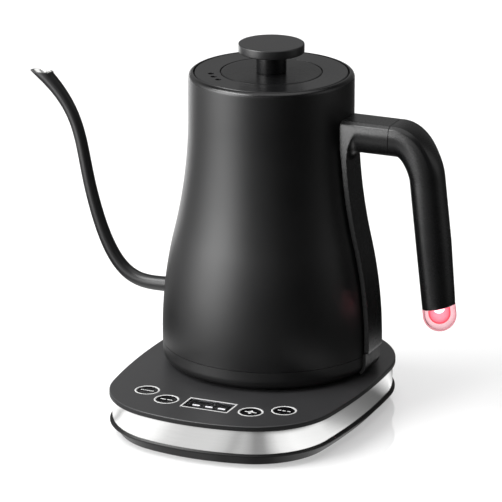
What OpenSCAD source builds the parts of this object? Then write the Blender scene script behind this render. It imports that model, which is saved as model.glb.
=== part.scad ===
// Electric gooseneck kettle with its power base.
// Millimetres, +Z up. The origin is on the kettle's axis, on the surface that the base stands on.
// +X points to the handle, -X to the spout and -Y to the front, where the controls are.

/* [Kettle body] */
// Outer radius of the body at its mouth
top_r = 48.5; // [46:0.1:51]
// Outer radius of the body at its foot
low_r = 64.1; // [61:0.1:67]
// Height of the rim above the table
rim_z = 202; // [196:0.5:212]
// Height of the seam between the body and the bottom ring
seam_z = 38.8; // [38:0.1:42]
// Height at which the body starts to swell
shoulder_z = 176.2; // [165:0.1:184]
// Height at which the body reaches its full radius
hip_z = 45.3; // [43:0.1:60]
// Share of the swell that is the hollow upper arc
hollow_share = 0.54; // [0.4:0.01:0.7]
// Thickness of the body's steel
wall = 0.8; // [0.6:0.1:1.2]
// Outer radius of the rolled rim
rim_round = 2.9; // [2:0.1:3.5]

/* [Heated floor] */
// Height of the vessel floor's upper face
floor_z = 48; // [47:0.5:54]
// Thickness of the steel floor disc
floor_t = 1; // [0.8:0.1:1.5]
// Depth of the rim that is brazed to the wall
floor_rim = 4; // [2:0.5:6]
// Thickness of the plate that spreads the heat
heat_plate_t = 2.5; // [2:0.1:3]
// Radius of the plate that spreads the heat
heat_plate_r = 46; // [42:1:54]
// Radius of the heating element's loop
element_loop_r = 37; // [33:0.5:40]
// Radius of the element's sheath
element_r = 3; // [2.5:0.1:3.2]
// Share of a full turn that the element covers, in degrees
element_turn = 300; // [270:5:320]
// Radius of the temperature probe
probe_r = 2.5; // [2:0.1:3.5]
// Height that the probe stands above the floor
probe_h = 6; // [4:0.5:10]
// Distance of the probe from the kettle's axis
probe_x = 27; // [24:0.5:29]

/* [Bottom ring and cover] */
// Radius of the rounded lower edge of the ring
ring_round = 6; // [5:0.1:7]
// Gap between the bottom ring and the power base
ring_lift = 1.3; // [1:0.1:2]
// Wall of the bottom ring and cover
ring_wall = 2; // [1.5:0.1:2.5]
// Depth of the shadow line at the seam
seam_gap = 0.3; // [0.2:0.05:0.5]
// Distance of the pads that the kettle stands on from the cover's edge
pad_edge = 10; // [8:0.5:14]
// Radius of one pad
pad_r = 3; // [2:0.1:4]
// Distance of the cover screws from the cover's edge
cover_screw_edge = 4; // [3.6:0.1:5]

/* [Lid] */
// Gap round the lid's edge
lid_gap = 0.5; // [0.3:0.05:0.7]
// Thickness of the lid's cap
lid_t = 3.2; // [2.8:0.1:4]
// Radius of the groove round the centre disc
disc_r = 29.6; // [27:0.1:31]
// Width of the groove round the centre disc
disc_gap = 0.5; // [0.3:0.1:0.8]
// Thickness of the centre disc
disc_t = 1.4; // [1:0.1:1.8]
// Inner radius of the neck below the lid
neck_r = 42; // [40.5:0.1:42.5]
// Depth of the neck below the lid's seat
neck_depth = 14; // [10:0.5:18]
// Thickness of the neck's steel
neck_t = 1.2; // [0.8:0.1:1.4]
// Gap between the plug and the neck
plug_gap = 1.7; // [1.2:0.1:2.2]
// Depth of the plug below the lid's cap
plug_depth = 16; // [13:0.5:20]
// Wall of the plug
plug_wall = 2.4; // [2.2:0.1:3]
// Height of the silicone seal
seal_h = 5; // [4:0.5:6]
// Gap between the seal's lips and the neck
seal_gap = 0.3; // [0.25:0.05:0.4]
// Radius of one steam hole
vent_r = 1.1; // [0.8:0.1:1.4]
// Distance of the steam holes from the lid's centre
vent_circle_r = 35.4; // [33:0.1:36]
// Direction of the middle steam hole
vent_angle = -137.6; // [-180:0.1:180]
// Angle between the steam holes
vent_step = 10.9; // [8:0.1:14]

/* [Knob] */
// Radius of the knob's cap
knob_r = 19.3; // [16:0.1:22]
// Thickness of the knob's cap
knob_t = 5.2; // [4:0.1:7]
// Radius of the knob's stem
stem_r = 8.8; // [7:0.1:10]
// Height of the knob's stem
stem_h = 11.9; // [9:0.1:15]
// Radius of the screw that holds the knob
knob_screw_r = 2; // [1.5:0.1:2.5]

/* [Spout] */
// Height of the spout's root on the body
spout_root_z = 62.8; // [60:0.1:68]
// Distance of the spout's tip from the kettle's axis
spout_reach = 149.1; // [142:0.1:156]
// Height of the spout's level mouth
spout_tip_z = 185.8; // [178:0.1:194]
// Distance from the axis of the point where the two bends meet
spout_waist_x = 116.2; // [112:0.1:120]
// Height of the point where the two bends meet
spout_waist_z = 111.8; // [106:0.1:118]
// Lean of the tube from upright where the two bends meet
spout_waist_lean = 14.9; // [10:0.1:20]
// Lean of the tube from upright at its mouth
spout_tip_lean = 49.9; // [40:0.1:55]
// Outer diameter of the tube at its root
spout_root_d = 9.2; // [8:0.1:10.5]
// Outer diameter of the tube where it is thinnest
spout_neck_d = 7.3; // [6.8:0.1:8]
// Outer diameter of the tube at its mouth
spout_tip_d = 9.4; // [8.4:0.1:10.5]
// Share of the tube's length at which it is thinnest
spout_neck_share = 0.735; // [0.6:0.005:0.85]
// Wall of the tube
spout_wall = 0.8; // [0.6:0.1:1]

/* [Handle strip] */
// Half the strip's width
strip_half_w = 10.6; // [9.8:0.1:11]
// Height that the strip stands off the body
strip_t = 2.6; // [2.2:0.1:3.5]
// Wall of the strip round its channel
strip_wall = 1.2; // [1:0.1:1.4]
// Gap between the strip and the body
strip_gap = 0.2; // [0.1:0.05:0.3]
// Depth of the shadow line along the strip's edges
strip_relief = 0.4; // [0.2:0.05:0.6]
// Height of the strip's foot above the seam
strip_foot = 1.6; // [1:0.1:3]
// Height that the ring's pad stands off the bottom ring
ring_pad_t = 1; // [0.8:0.1:1.6]
// Width that the ring's pad shows beyond the strip on each side
ring_pad_more = 0.5; // [0.3:0.1:0.8]

/* [Handle] */
// Height of the arm's axis
arm_z = 171.3; // [166:0.1:176]
// Height of the arm's flat top above its axis
arm_up = 8.3; // [7.5:0.1:9.5]
// Depth of the arm's rounded underside below its axis
arm_down = 10.4; // [9.6:0.1:11]
// Radius of the arm's upper edges
arm_edge_r = 1.3; // [0.8:0.1:3]
// Radius of the fillet under the arm's root
arm_fillet_r = 3.5; // [2.5:0.1:5]
// Distance from the kettle's axis to the start of the elbow
arm_end_x = 75; // [72:0.1:80]
// Share of the elbow's turn at which the arm meets the grip
joint_share = 0.06; // [0.03:0.01:0.12]
// Share of the elbow's turn over which the flat top fades out
flat_share = 0.45; // [0.3:0.05:0.6]
// Radius of the elbow's centreline
elbow_r = 21.7; // [18:0.1:26]
// Depth of the section half way round the elbow
elbow_h = 22; // [19:0.1:24]
// Lean of the grip from upright
grip_tilt = 6.8; // [0:0.1:9]
// Depth of the grip's section
grip_h = 19.6; // [19:0.1:21]
// Width of the grip's section
grip_w = 19.6; // [19:0.1:21]
// Height of the grip's lower end, at its middle
grip_end_z = 72.6; // [66:0.1:84]
// Extra slant of the grip's lower end
grip_end_slant = 6; // [0:0.1:8]
// Squareness of the elbow's section at its start, where 2 is round
elbow_square = 2.5; // [2:0.1:3.2]
// Squareness of the grip's section
grip_square = 2.1; // [2:0.05:2.6]
// Wall of the grip round the lens pocket
grip_wall = 1.3; // [1:0.1:1.4]
// Depth of the lens pocket
pocket_depth = 9; // [8:0.5:12]
// Thickness of the steel bracket in the arm
bracket_t = 3; // [2:0.1:4]
// Width of the steel bracket in the arm
bracket_w = 11; // [9:0.5:12]
// Reach of the steel bracket into the arm
bracket_reach = 16; // [14:0.5:18]
// Radius of the handle screw
handle_screw_r = 1.5; // [1.2:0.1:1.8]

/* [Indicator] */
// Radius of the clear dome
lens_r = 9.8; // [9.4:0.1:9.8]
// Thickness of the clear dome
lens_wall = 1.2; // [1:0.1:1.6]
// Length of the dome's straight part
lens_straight = 5.4; // [4:0.1:8]
// Radius of the light guide
guide_r = 6.2; // [5:0.1:6.6]
// Radius of the lamp
lamp_r = 3.8; // [3:0.1:4.2]

/* [Power base] */
// Half the base's width
base_half_w = 72.6; // [70:0.1:78]
// Distance from the kettle's axis to the base's front edge
base_front = 119.1; // [114:0.1:124]
// Distance from the kettle's axis to the base's rear edge
base_back = 74; // [70:0.1:80]
// Radius of the bowed front edge, over half the base's width
front_bow_more = 58.4; // [50:0.1:90]
// Radius of the bowed rear edge, over half the base's width
back_bow_more = 3.4; // [3:0.1:12]
// Radius of the bowed sides
side_bow_r = 414; // [300:1:600]
// Where the base is widest, measured back from the kettle's axis
widest_y = -17.4; // [-24:0.1:-10]
// Radius of the front corners, under half the base's width
front_corner_less = 22.6; // [18:0.1:28]
// Radius of the rear corners, under half the base's width
back_corner_less = 10.6; // [8:0.1:16]
// Thickness of the top plate
plate_t = 3; // [2.5:0.1:3.5]
// Height of the steel band
band_h = 14.9; // [13:0.1:18]
// Thickness of the steel band
band_t = 0.6; // [0.4:0.05:0.8]
// Depth of the band behind the plate's edge
band_inset = 1.7; // [1.2:0.1:2.2]
// Thickness of the lip under the band
lip_t = 1; // [0.8:0.1:1.5]
// Depth of the lip behind the plate's edge
lip_inset = 0.2; // [0:0.1:0.5]
// Height of the tapering skirt below the lip
skirt_h = 6.1; // [5:0.1:8]
// Depth of the skirt's upper edge behind the plate's edge
skirt_top_inset = 1.8; // [1.5:0.1:2.5]
// Depth of the skirt's lower edge behind the plate's edge
skirt_low_inset = 6; // [4.5:0.1:6.4]
// Wall of the housing
base_wall = 2; // [1.6:0.1:2.4]
// Height that the feet stand out below the housing
foot_show = 1; // [0.8:0.1:1.6]
// Radius of one foot
foot_r = 7; // [5:0.1:9]
// Depth of a foot's seat in the housing
foot_seat = 1; // [0.6:0.1:1.2]

/* [Coupler] */
// Outer radius of the fixed tower on the base
tower_r = 17; // [16:0.1:17.5]
// Height of the tower above the plate
tower_h = 4; // [3:0.1:5]
// Outer radius of the turning collar
collar_r = 12; // [11:0.1:12.5]
// Height of the collar's top above the plate
collar_h = 6; // [5:0.1:7]
// Radius of the centre post
post_r = 5; // [4.5:0.1:5.5]
// Height of the centre post above the plate
post_h = 10; // [9:0.1:10.5]
// Running clearance between the collar and the post
collar_fit = 0.08; // [0.02:0.01:0.1]
// Clearance between the two halves of the coupler
coupler_gap = 0.5; // [0.4:0.05:0.7]
// Outer radius of the kettle's half of the coupler
socket_r = 20; // [19.5:0.1:21]

/* [Controls] */
// Radius of one button
button_r = 5.9; // [5:0.1:6]
// Gap round a button
button_gap = 0.2; // [0.15:0.05:0.3]
// Travel of a button
button_travel = 0.6; // [0.4:0.05:0.8]
// Outer radius of the white ring round a button
trim_r = 7.5; // [7.3:0.1:8]
// Width of the white ring
trim_w = 1.2; // [1:0.05:1.2]
// Thickness of the white ring and of the display's frame
trim_t = 0.6; // [0.4:0.1:0.8]
// Sideways place of the outer buttons
outer_button_x = 43.2; // [42:0.1:46]
// Depth of the outer buttons, forward of the kettle's axis
outer_button_y = 81.3; // [80:0.1:84]
// Sideways place of the inner buttons
inner_button_x = 26.5; // [25.5:0.1:27]
// Depth of the inner buttons, forward of the kettle's axis
inner_button_y = 90.9; // [89:0.1:94]
// Depth of the display's centre, forward of the kettle's axis
display_y = 90.4; // [88:0.1:94]
// Half the width of the display's frame
display_half_w = 15; // [14:0.1:15.5]
// Half the depth of the display's frame
display_half_d = 8; // [7:0.1:9]
// Width of the frame's line
frame_w = 1; // [0.8:0.1:1.3]
// Length of one dash
dash_w = 4.4; // [3:0.1:5]
// Depth of one dash
dash_d = 2; // [1:0.1:2.5]
// Distance between the dashes
dash_step = 8; // [7:0.1:8.5]
// Thickness of the circuit boards
board_t = 1.6; // [1:0.1:2]
// Height of a key switch's body
switch_h = 3; // [2:0.1:3.5]
// Radius of the hole that the supply cord passes through
cord_hole_r = 3.3; // [2.8:0.1:3.6]

/* [Hidden] */

$fn = 72;
small_fn = 32;
fine_fn = 144;
loft_sides = 40;
spout_sides = 24;
eps = 0.1;
fit = 0.1;
arc_steps = 12;
bow_steps = 7;
corner_steps = 16;

// Heights of the power base, from the table up
housing_z = foot_show;
lip_z = housing_z + skirt_h;
band_z = lip_z + lip_t;
plate_z = band_z + band_h;
plate_top = plate_z + plate_t;
housing_floor = 2;
housing_inset = skirt_low_inset + 0.9;
wall_inset = band_inset + band_t + fit;
wall_top_gap = 0.1;

// Heights of the kettle's underside
ring_z = plate_top + ring_lift;
cover_t = ring_wall;
cover_r = low_r - ring_round - fit;
ring_round_z = ring_z + ring_round;
cover_screw_r = 1.3;
cover_screw_head_r = 2.4;
cover_screw_head_h = 0.9;
boss_r = 3.2;
boss_z = ring_z + cover_t + fit;
cover_screw_bite = 4;
thread_overlap = 0.05;
cover_screw_circle_r = cover_r - cover_screw_edge;
pad_circle_r = cover_r - pad_edge;
cover_screw_angles = [30, 150, 270];
pad_angles = [0, 90, 180, 270];

// The body's outline is a hollow arc above a bulging arc that meets it at a common tangent
swell = low_r - top_r;
swell_h = shoulder_z - hip_z;
swell_lean = 2 * atan(swell / swell_h);
arcs_r = swell_h / sin(swell_lean);
hollow_r = hollow_share * arcs_r;
bulge_r = arcs_r - hollow_r;
bend_z = shoulder_z - hollow_r * sin(swell_lean);

// Outer radius of the body at height z
function body_r(z) =
    z >= shoulder_z ? top_r
    : z >= bend_z ? top_r + hollow_r - sqrt(pow(hollow_r, 2) - pow(shoulder_z - z, 2))
    : z >= hip_z ? low_r - bulge_r + sqrt(pow(bulge_r, 2) - pow(z - hip_z, 2))
    : low_r;

// Evenly spaced heights from low to high, ends included
function heights(low, high, count) = [for (i = [0:count]) low + (high - low) * i / count];

// The body's outline between two heights, moved out by a distance, going up
function body_line(low, high, out, count) = [for (z = heights(low, high, count)) [body_r(z) + out, z]];

function reversed(list) = [for (i = [len(list) - 1:-1:0]) list[i]];

// Points on an arc from one angle to another, both included
function arc(x, y, r, from, to, steps) =
    [for (i = [0:steps]) let (a = from + (to - from) * i / steps) [x + r * cos(a), y + r * sin(a)]];

// The same arc without its last point, for a chain of arcs
function chained(x, y, r, from, to, steps) =
    [for (i = [0:steps - 1]) let (a = from + (to - from) * i / steps) [x + r * cos(a), y + r * sin(a)]];

function bearing(from, to) = atan2(to.y - from.y, to.x - from.x);

// Where two circles cross, on the chosen side of the line between their centres
function crossing(c1, r1, c2, r2, side) =
    let (d = norm(c2 - c1), along = (r1 * r1 - r2 * r2 + d * d) / (2 * d), u = (c2 - c1) / d)
    c1 + along * u + side * sqrt(r1 * r1 - along * along) * [-u.y, u.x];

front_bow_r = base_half_w + front_bow_more;
back_bow_r = base_half_w + back_bow_more;
front_corner_r = base_half_w - front_corner_less;
back_corner_r = base_half_w - back_corner_less;

// The base's outline is four bowed edges and four corners, all tangent, so an inset only shrinks radii
front_c = [0, front_bow_r - base_front];
back_c = [0, base_back - back_bow_r];
side_c = [base_half_w - side_bow_r, widest_y];
front_corner = crossing(front_c, front_bow_r - front_corner_r, side_c, side_bow_r - front_corner_r, 1);
back_corner = crossing(back_c, back_bow_r - back_corner_r, side_c, side_bow_r - back_corner_r, -1);
front_a = bearing(front_c, front_corner);
side_front_a = bearing(side_c, front_corner);
side_back_a = bearing(side_c, back_corner);
back_a = bearing(back_c, back_corner);

function base_right(inset) = concat(
    chained(front_c.x, front_c.y, front_bow_r - inset, -90, front_a, bow_steps),
    chained(front_corner.x, front_corner.y, front_corner_r - inset, front_a, side_front_a, corner_steps),
    chained(side_c.x, side_c.y, side_bow_r - inset, side_front_a, side_back_a, bow_steps),
    chained(back_corner.x, back_corner.y, back_corner_r - inset, side_back_a, back_a, corner_steps),
    arc(back_c.x, back_c.y, back_bow_r - inset, back_a, 90, bow_steps)
);
function base_outline(inset) =
    let (right = base_right(inset), last = len(right) - 1)
    concat(right, [for (i = [last - 1:-1:1]) [-right[i].x, right[i].y]]);

// A closed skin over a list of rings with equal numbers of points
function skin_faces(rings, looped) =
    let (n = len(rings[0]), m = len(rings), last = looped ? m : m - 1)
    [for (i = [0:last - 1], j = [0:n - 1])
        let (a = i * n + j, b = i * n + (j + 1) % n, c = ((i + 1) % m) * n + j,
             d = ((i + 1) % m) * n + (j + 1) % n)
        each [[a, c, b], [b, c, d]]];
module skin(rings, looped = false) {
    n = len(rings[0]);
    ends = looped ? [] : [[for (j = [0:n - 1]) j], [for (j = [n - 1:-1:0]) (len(rings) - 1) * n + j]];
    polyhedron(points = [for (ring = rings) each ring], faces = concat(skin_faces(rings, looped), ends));
}

// A slab with the base's outline
module base_slab(inset, low, high) {
    translate([0, 0, low])
        linear_extrude(height = high - low)
            polygon(base_outline(inset));
}

module tube(outer, inner, low, high) {
    difference() {
        translate([0, 0, low]) cylinder(r = outer, h = high - low);
        translate([0, 0, low - eps]) cylinder(r = inner, h = high - low + 2 * eps);
    }
}

module rod(r, low, high) {
    translate([0, 0, low]) cylinder(r = r, h = high - low);
}

// Copies on a circle about the kettle's axis
module on_circle(radius, angles) {
    for (a = angles)
        translate([radius * cos(a), radius * sin(a), 0]) children();
}

// Kettle body ------------------------------------------------------------------------------------

shell_z = seam_z + seam_gap / 2;
body_steps = 26;
rim_steps = 8;
spout_hole_gap = 0.25;
window_half = bracket_w / 2 + fit;

module body_shell() {
    shell_top = rim_z - rim_round;
    rim_c = top_r - rim_round;
    color("#1c1c1e")
        difference() {
            rotate_extrude()
                polygon(concat(
                    body_line(shell_z, shell_top, 0, body_steps),
                    arc(rim_c, shell_top, rim_round, 90 / rim_steps, 90, rim_steps - 1),
                    arc(rim_c, shell_top, rim_round - wall, 90, 0, rim_steps),
                    reversed(body_line(shell_z, shell_top - eps, -wall, body_steps))
                ));
            translate([-low_r - eps, 0, spout_root_z])
                rotate([0, 90, 0])
                    cylinder(r = spout_root_d / 2 + spout_hole_gap, h = 3 * wall + ring_round);
        }
}

module lid_seat() {
    seat_z = rim_z - lid_t;
    skirt_r = top_r - wall - fit;
    skirt_z = seat_z - neck_depth / 2;
    color("silver")
        rotate_extrude()
            polygon([
                [neck_r, seat_z - neck_depth], [neck_r + neck_t, seat_z - neck_depth],
                [neck_r + neck_t, seat_z - neck_t], [skirt_r - neck_t, seat_z - neck_t],
                [skirt_r - neck_t, skirt_z], [skirt_r, skirt_z], [skirt_r, seat_z], [neck_r, seat_z]
            ]);
}

// Heated floor -----------------------------------------------------------------------------------

floor_r = body_r(floor_z) - wall - fit;
probe_hole_r = probe_r + 1;
heat_z = floor_z - floor_t - heat_plate_t;

module probe_place() {
    translate([0, probe_x, 0]) children();
}

module vessel_floor() {
    color("silver")
        difference() {
            rotate_extrude()
                polygon([
                    [0, floor_z - floor_t], [floor_r - floor_t, floor_z - floor_t],
                    [floor_r - floor_t, floor_z - floor_rim], [floor_r, floor_z - floor_rim],
                    [floor_r, floor_z], [0, floor_z]
                ]);
            probe_place() rod(probe_hole_r, floor_z - floor_t - eps, floor_z + eps);
        }
}

module heat_plate() {
    color("lightgray")
        difference() {
            rod(heat_plate_r, heat_z, floor_z - floor_t);
            probe_place() rod(probe_hole_r, heat_z - eps, floor_z);
        }
}

// The sheathed element is brazed under the plate: an open loop with a cold end turned down at each tip
module heating_element() {
    centre_z = heat_z - element_r;
    open_half = (360 - element_turn) / 2;
    cold_end_h = 5;
    color("dimgray") {
        translate([0, 0, centre_z])
            rotate([0, 0, open_half - 90])
                rotate_extrude(angle = element_turn)
                    translate([element_loop_r, 0]) circle(r = element_r, $fn = small_fn);
        for (a = [open_half, -open_half])
            rotate([0, 0, a - 90])
                translate([element_loop_r, 0, 0])
                    rod(element_r - fit, centre_z - cold_end_h, centre_z, $fn = small_fn);
    }
}

module temperature_probe() {
    flange_h = 1.5;
    tail_h = 5;
    color("silver")
        probe_place()
            rotate_extrude()
                polygon(concat(
                    [[0, heat_z - tail_h], [probe_r, heat_z - tail_h], [probe_r, heat_z - flange_h],
                     [probe_hole_r + 1, heat_z - flange_h], [probe_hole_r + 1, heat_z], [probe_r, heat_z]],
                    arc(0, floor_z + probe_h - probe_r, probe_r, 0, 90, rim_steps)
                ));
}

module probe_seal() {
    color("whitesmoke")
        probe_place() {
            tube(probe_hole_r - fit / 2, probe_r + fit / 2, heat_z, floor_z);
            tube(probe_hole_r + 1, probe_r + fit / 2, floor_z, floor_z + 1);
        }
}

module dry_boil_thermostat() {
    body_h = 5;
    foot_h = 1;
    color("black")
        translate([0, -28, 0]) {
            rod(7, heat_z - body_h, heat_z - foot_h);
            rod(8.5, heat_z - foot_h, heat_z);
        }
}

// Bottom ring, cover and the kettle's half of the coupler -------------------------------------------

// Outline of the ring from a height down round its lower edge, moved out by a distance
ring_turn = 78;
pad_turn = asin(ring_round / (ring_round + ring_pad_t));
pad_top = seam_z + strip_foot - seam_gap;
function ring_line(out, top, turn) = concat(
    [[low_r + out, top]],
    arc(low_r - ring_round, ring_round_z, ring_round + out, 0, -turn, arc_steps)
);

module bottom_ring() {
    inner = low_r - ring_wall;
    foot_in = low_r - ring_round;
    pad_root = 0.4;
    spigot_h = 3;
    spigot_r = low_r - wall - fit;
    color("#222224") {
        rotate_extrude()
            polygon(concat(
                ring_line(0, seam_z - seam_gap / 2, ring_turn),
                [[foot_in, ring_z], [foot_in, ring_z + ring_wall],
                 [inner - ring_round / 2, ring_z + 1.5 * ring_wall], [inner - 1, ring_round_z],
                 [inner - 1, seam_z + spigot_h], [spigot_r, seam_z + spigot_h],
                 [spigot_r, seam_z - seam_gap / 2]]
            ));
        difference() {
            rotate([90, 0, 0])
                linear_extrude(height = 2 * (strip_half_w + ring_pad_more), center = true)
                    polygon(concat(
                        ring_line(ring_pad_t, pad_top, pad_turn),
                        reversed(ring_line(pad_root - ring_wall, pad_top, pad_turn))
                    ));
            rod(low_r + strip_gap, seam_z - seam_gap / 2, pad_top + eps);
        }
        difference() {
            union() {
                on_circle(cover_screw_circle_r, cover_screw_angles)
                    rod(boss_r, boss_z, ring_round_z, $fn = small_fn);
                for (a = cover_screw_angles)
                    rotate([0, 0, a])
                        translate([cover_screw_circle_r, -boss_r / 2, boss_z])
                            cube([inner - cover_screw_circle_r, boss_r, ring_round_z - boss_z]);
            }
            on_circle(cover_screw_circle_r, cover_screw_angles)
                rod(cover_screw_r - 4 * thread_overlap, boss_z - eps, ring_round_z + eps, $fn = small_fn);
        }
    }
}

module bottom_cover() {
    color("#1a1a1c") {
        difference() {
            rod(cover_r, ring_z, ring_z + cover_t);
            rod(socket_r + fit, ring_z - eps, ring_z + cover_t + eps);
            on_circle(cover_screw_circle_r, cover_screw_angles) {
                rod(cover_screw_r + fit, ring_z - eps, ring_z + cover_t + eps, $fn = small_fn);
                rod(cover_screw_head_r + fit, ring_z - eps, ring_z + cover_screw_head_h, $fn = small_fn);
            }
        }
        on_circle(pad_circle_r, pad_angles)
            rod(pad_r, plate_top, ring_z + fit, $fn = small_fn);
    }
}

module cover_screws() {
    color("silver")
        on_circle(cover_screw_circle_r, cover_screw_angles) {
            rod(cover_screw_head_r, ring_z, ring_z + cover_screw_head_h, $fn = small_fn);
            rod(cover_screw_r - 5 * thread_overlap, ring_z + fit, ring_z + cover_t + cover_screw_bite,
                $fn = small_fn);
        }
}

// The kettle's half: a stepped well that drops over the tower, the collar and the post
module coupler_socket() {
    top_z = plate_top + post_h + coupler_gap + 1.5;
    collar_top = plate_top + collar_h + coupler_gap;
    tower_top = plate_top + tower_h + coupler_gap;
    flange_z = ring_z + cover_t + fit;
    color("#161618")
        rotate_extrude()
            polygon([
                [tower_r + coupler_gap, ring_z], [socket_r, ring_z], [socket_r, flange_z],
                [socket_r + 3, flange_z], [socket_r + 3, flange_z + 1.5], [socket_r, flange_z + 1.5],
                [socket_r, top_z - 1], [socket_r - 1, top_z], [0, top_z],
                [0, top_z - 1.5], [post_r + coupler_gap, top_z - 1.5], [post_r + coupler_gap, collar_top],
                [collar_r + coupler_gap, collar_top], [collar_r + coupler_gap, tower_top],
                [tower_r + coupler_gap, tower_top]
            ]);
}

// Spout ------------------------------------------------------------------------------------------

// The centreline lies in the XZ plane: two cubic curves that share a tangent at the waist
root_pull = 23;
below_waist_pull = 59.5;
above_waist_pull = 33.8;
tip_pull = 36.9;
root_depth = wall + 2;
lower_rings = 22;
upper_rings = 18;

function lean_dir(lean) = [-sin(lean), cos(lean)];
spout_root = [-(body_r(spout_root_z) - root_depth), spout_root_z];
spout_waist = [-spout_waist_x, spout_waist_z];
spout_tip = [-spout_reach, spout_tip_z];
lower_curve = [spout_root, spout_root - [root_pull, 0],
               spout_waist - below_waist_pull * lean_dir(spout_waist_lean), spout_waist];
upper_curve = [spout_waist, spout_waist + above_waist_pull * lean_dir(spout_waist_lean),
               spout_tip - tip_pull * lean_dir(spout_tip_lean), spout_tip];

function cubic(c, t) =
    pow(1 - t, 3) * c[0] + 3 * pow(1 - t, 2) * t * c[1] + 3 * (1 - t) * t * t * c[2] + pow(t, 3) * c[3];
function cubic_dir(c, t) =
    let (d = pow(1 - t, 2) * (c[1] - c[0]) + 2 * (1 - t) * t * (c[2] - c[1]) + t * t * (c[3] - c[2]))
    d / norm(d);

// The tip is cut level, so the last upright ring stops where the cut's low side begins
tip_back = spout_tip_d / 2 * tan(spout_tip_lean) + 0.6;
tip_dir = lean_dir(spout_tip_lean);
upper_end = 1 - tip_back / (3 * tip_pull);

spout_stations = concat(
    [for (i = [0:lower_rings - 1]) let (t = i / lower_rings) [cubic(lower_curve, t), cubic_dir(lower_curve, t)]],
    [for (i = [0:upper_rings]) let (t = upper_end * i / upper_rings)
        [cubic(upper_curve, t), cubic_dir(upper_curve, t)]]
);

// Length of the centreline up to each station
function running(stations, i) =
    i == 0 ? 0 : running(stations, i - 1) + norm(stations[i][0] - stations[i - 1][0]);
spout_length = running(spout_stations, len(spout_stations) - 1) + tip_back;

function spout_d(share) =
    share < spout_neck_share
    ? spout_neck_d + (spout_root_d - spout_neck_d) * pow((spout_neck_share - share) / spout_neck_share, 2)
    : spout_neck_d + (spout_tip_d - spout_neck_d) * pow((share - spout_neck_share) / (1 - spout_neck_share), 2);

// A ring of points square to the centreline
function tube_ring(centre, dir, r, sides) =
    [for (j = [0:sides - 1]) let (a = 360 * j / sides, side = r * cos(a), up = r * sin(a))
        [centre.x - dir.y * up, side, centre.y + dir.x * up]];

// The same ring slid along the tube on to the level plane of the mouth
function level_ring(r, sides) =
    [for (p = tube_ring(spout_tip, tip_dir, r, sides))
        let (slide = (spout_tip_z - p.z) / tip_dir.y) [p.x + tip_dir.x * slide, p.y, spout_tip_z]];

function spout_skin(inset) = concat(
    [for (i = [0:len(spout_stations) - 1])
        let (s = spout_stations[i], share = running(spout_stations, i) / spout_length)
        tube_ring(s[0], s[1], spout_d(share) / 2 - inset, spout_sides)],
    [level_ring(spout_tip_d / 2 - inset, spout_sides)]
);

module spout_tube() {
    color("#1c1c1e")
        skin(concat(spout_skin(0), reversed(spout_skin(spout_wall))), looped = true);
}

// Handle strip -----------------------------------------------------------------------------------

arm_low = arm_z - arm_down;
root_low = arm_low - arm_fillet_r;
root_gap = 0.25;
strip_top = root_low - root_gap;
strip_low = seam_z + strip_foot;
strip_steps = 20;
relief_w = 0.8;
channel_half_w = strip_half_w - 3;
step_h = 2;
step_d = 0.5;
step_half_w = strip_half_w - 2;

// A solid of the body's shape moved out by a distance, for cutting what is fitted to it
module body_form(out, low, high) {
    rotate_extrude($fn = fine_fn)
        polygon(concat([[0, low]], body_line(low, high, out, strip_steps), [[0, high]]));
}

// A flat bar that follows the body's side, from one distance off the body to another
module side_bar(half_w, inner, outer, low, high) {
    difference() {
        rotate([90, 0, 0])
            linear_extrude(height = 2 * half_w, center = true)
                polygon(concat(body_line(low, high, outer, strip_steps), [[top_r / 2, high], [top_r / 2, low]]));
        body_form(inner, low - eps, high + eps);
    }
}

// The bar with its full width set a little further off the body, which leaves a shadow line
module relieved_bar(low, high) {
    side_bar(strip_half_w - relief_w, strip_gap, strip_t, low, high);
    side_bar(strip_half_w, strip_gap + strip_relief, strip_t, low, high);
}

module handle_strip() {
    channel_end = 3;
    color("#202022")
        difference() {
            relieved_bar(strip_low, strip_top);
            side_bar(channel_half_w, strip_gap - fit, strip_t - strip_wall, strip_low + channel_end,
                     strip_top - channel_end);
            side_bar(step_half_w, strip_t - step_d, strip_t + step_d, strip_top - step_h, strip_top + eps);
        }
}

// Handle -----------------------------------------------------------------------------------------

// A rounded square section: half depth a, half width b, and squareness n
function rounded_square(a, b, n, sides) =
    [for (j = [0:sides - 1]) let (t = 360 * (j + 0.5) / sides, c = cos(t), s = sin(t))
        [sign(c) * a * pow(abs(c), 2 / n), sign(s) * b * pow(abs(s), 2 / n)]];

// The arm's section has a flat top, crisp upper edges, straight sides and a rounded underside
section_quarter = loft_sides / 4;
edge_steps = 5;
top_crown = 0.12;
function arm_half(up, down, b, r, n) = concat(
    [for (j = [0:section_quarter - edge_steps - 3]) let (t = (j + 0.5) / (section_quarter - edge_steps - 2))
        [up + top_crown * (1 - t * t), (b - r) * t]],
    [for (j = [0:edge_steps]) let (t = 90 * j / edge_steps) [up - r + r * cos(t), b - r + r * sin(t)]],
    [[(up - r) / 2, b]],
    [for (j = [0:section_quarter - 1]) let (t = 90 * (j + 0.5) / section_quarter)
        [-down * pow(sin(t), 2 / n), b * pow(cos(t), 2 / n)]]
);
function arm_section(up, down, b, r, n) =
    let (half = arm_half(up, down, b, r, n))
    concat(half, [for (i = [len(half) - 1:-1:0]) [half[i].x, -half[i].y]]);

// A section set across the handle's centreline in the XZ plane; dir is the way the handle runs
function handle_ring(centre, dir, section) =
    [for (p = section) [centre.x - dir.y * p.x, p.y, centre.y + dir.x * p.x]];

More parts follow.
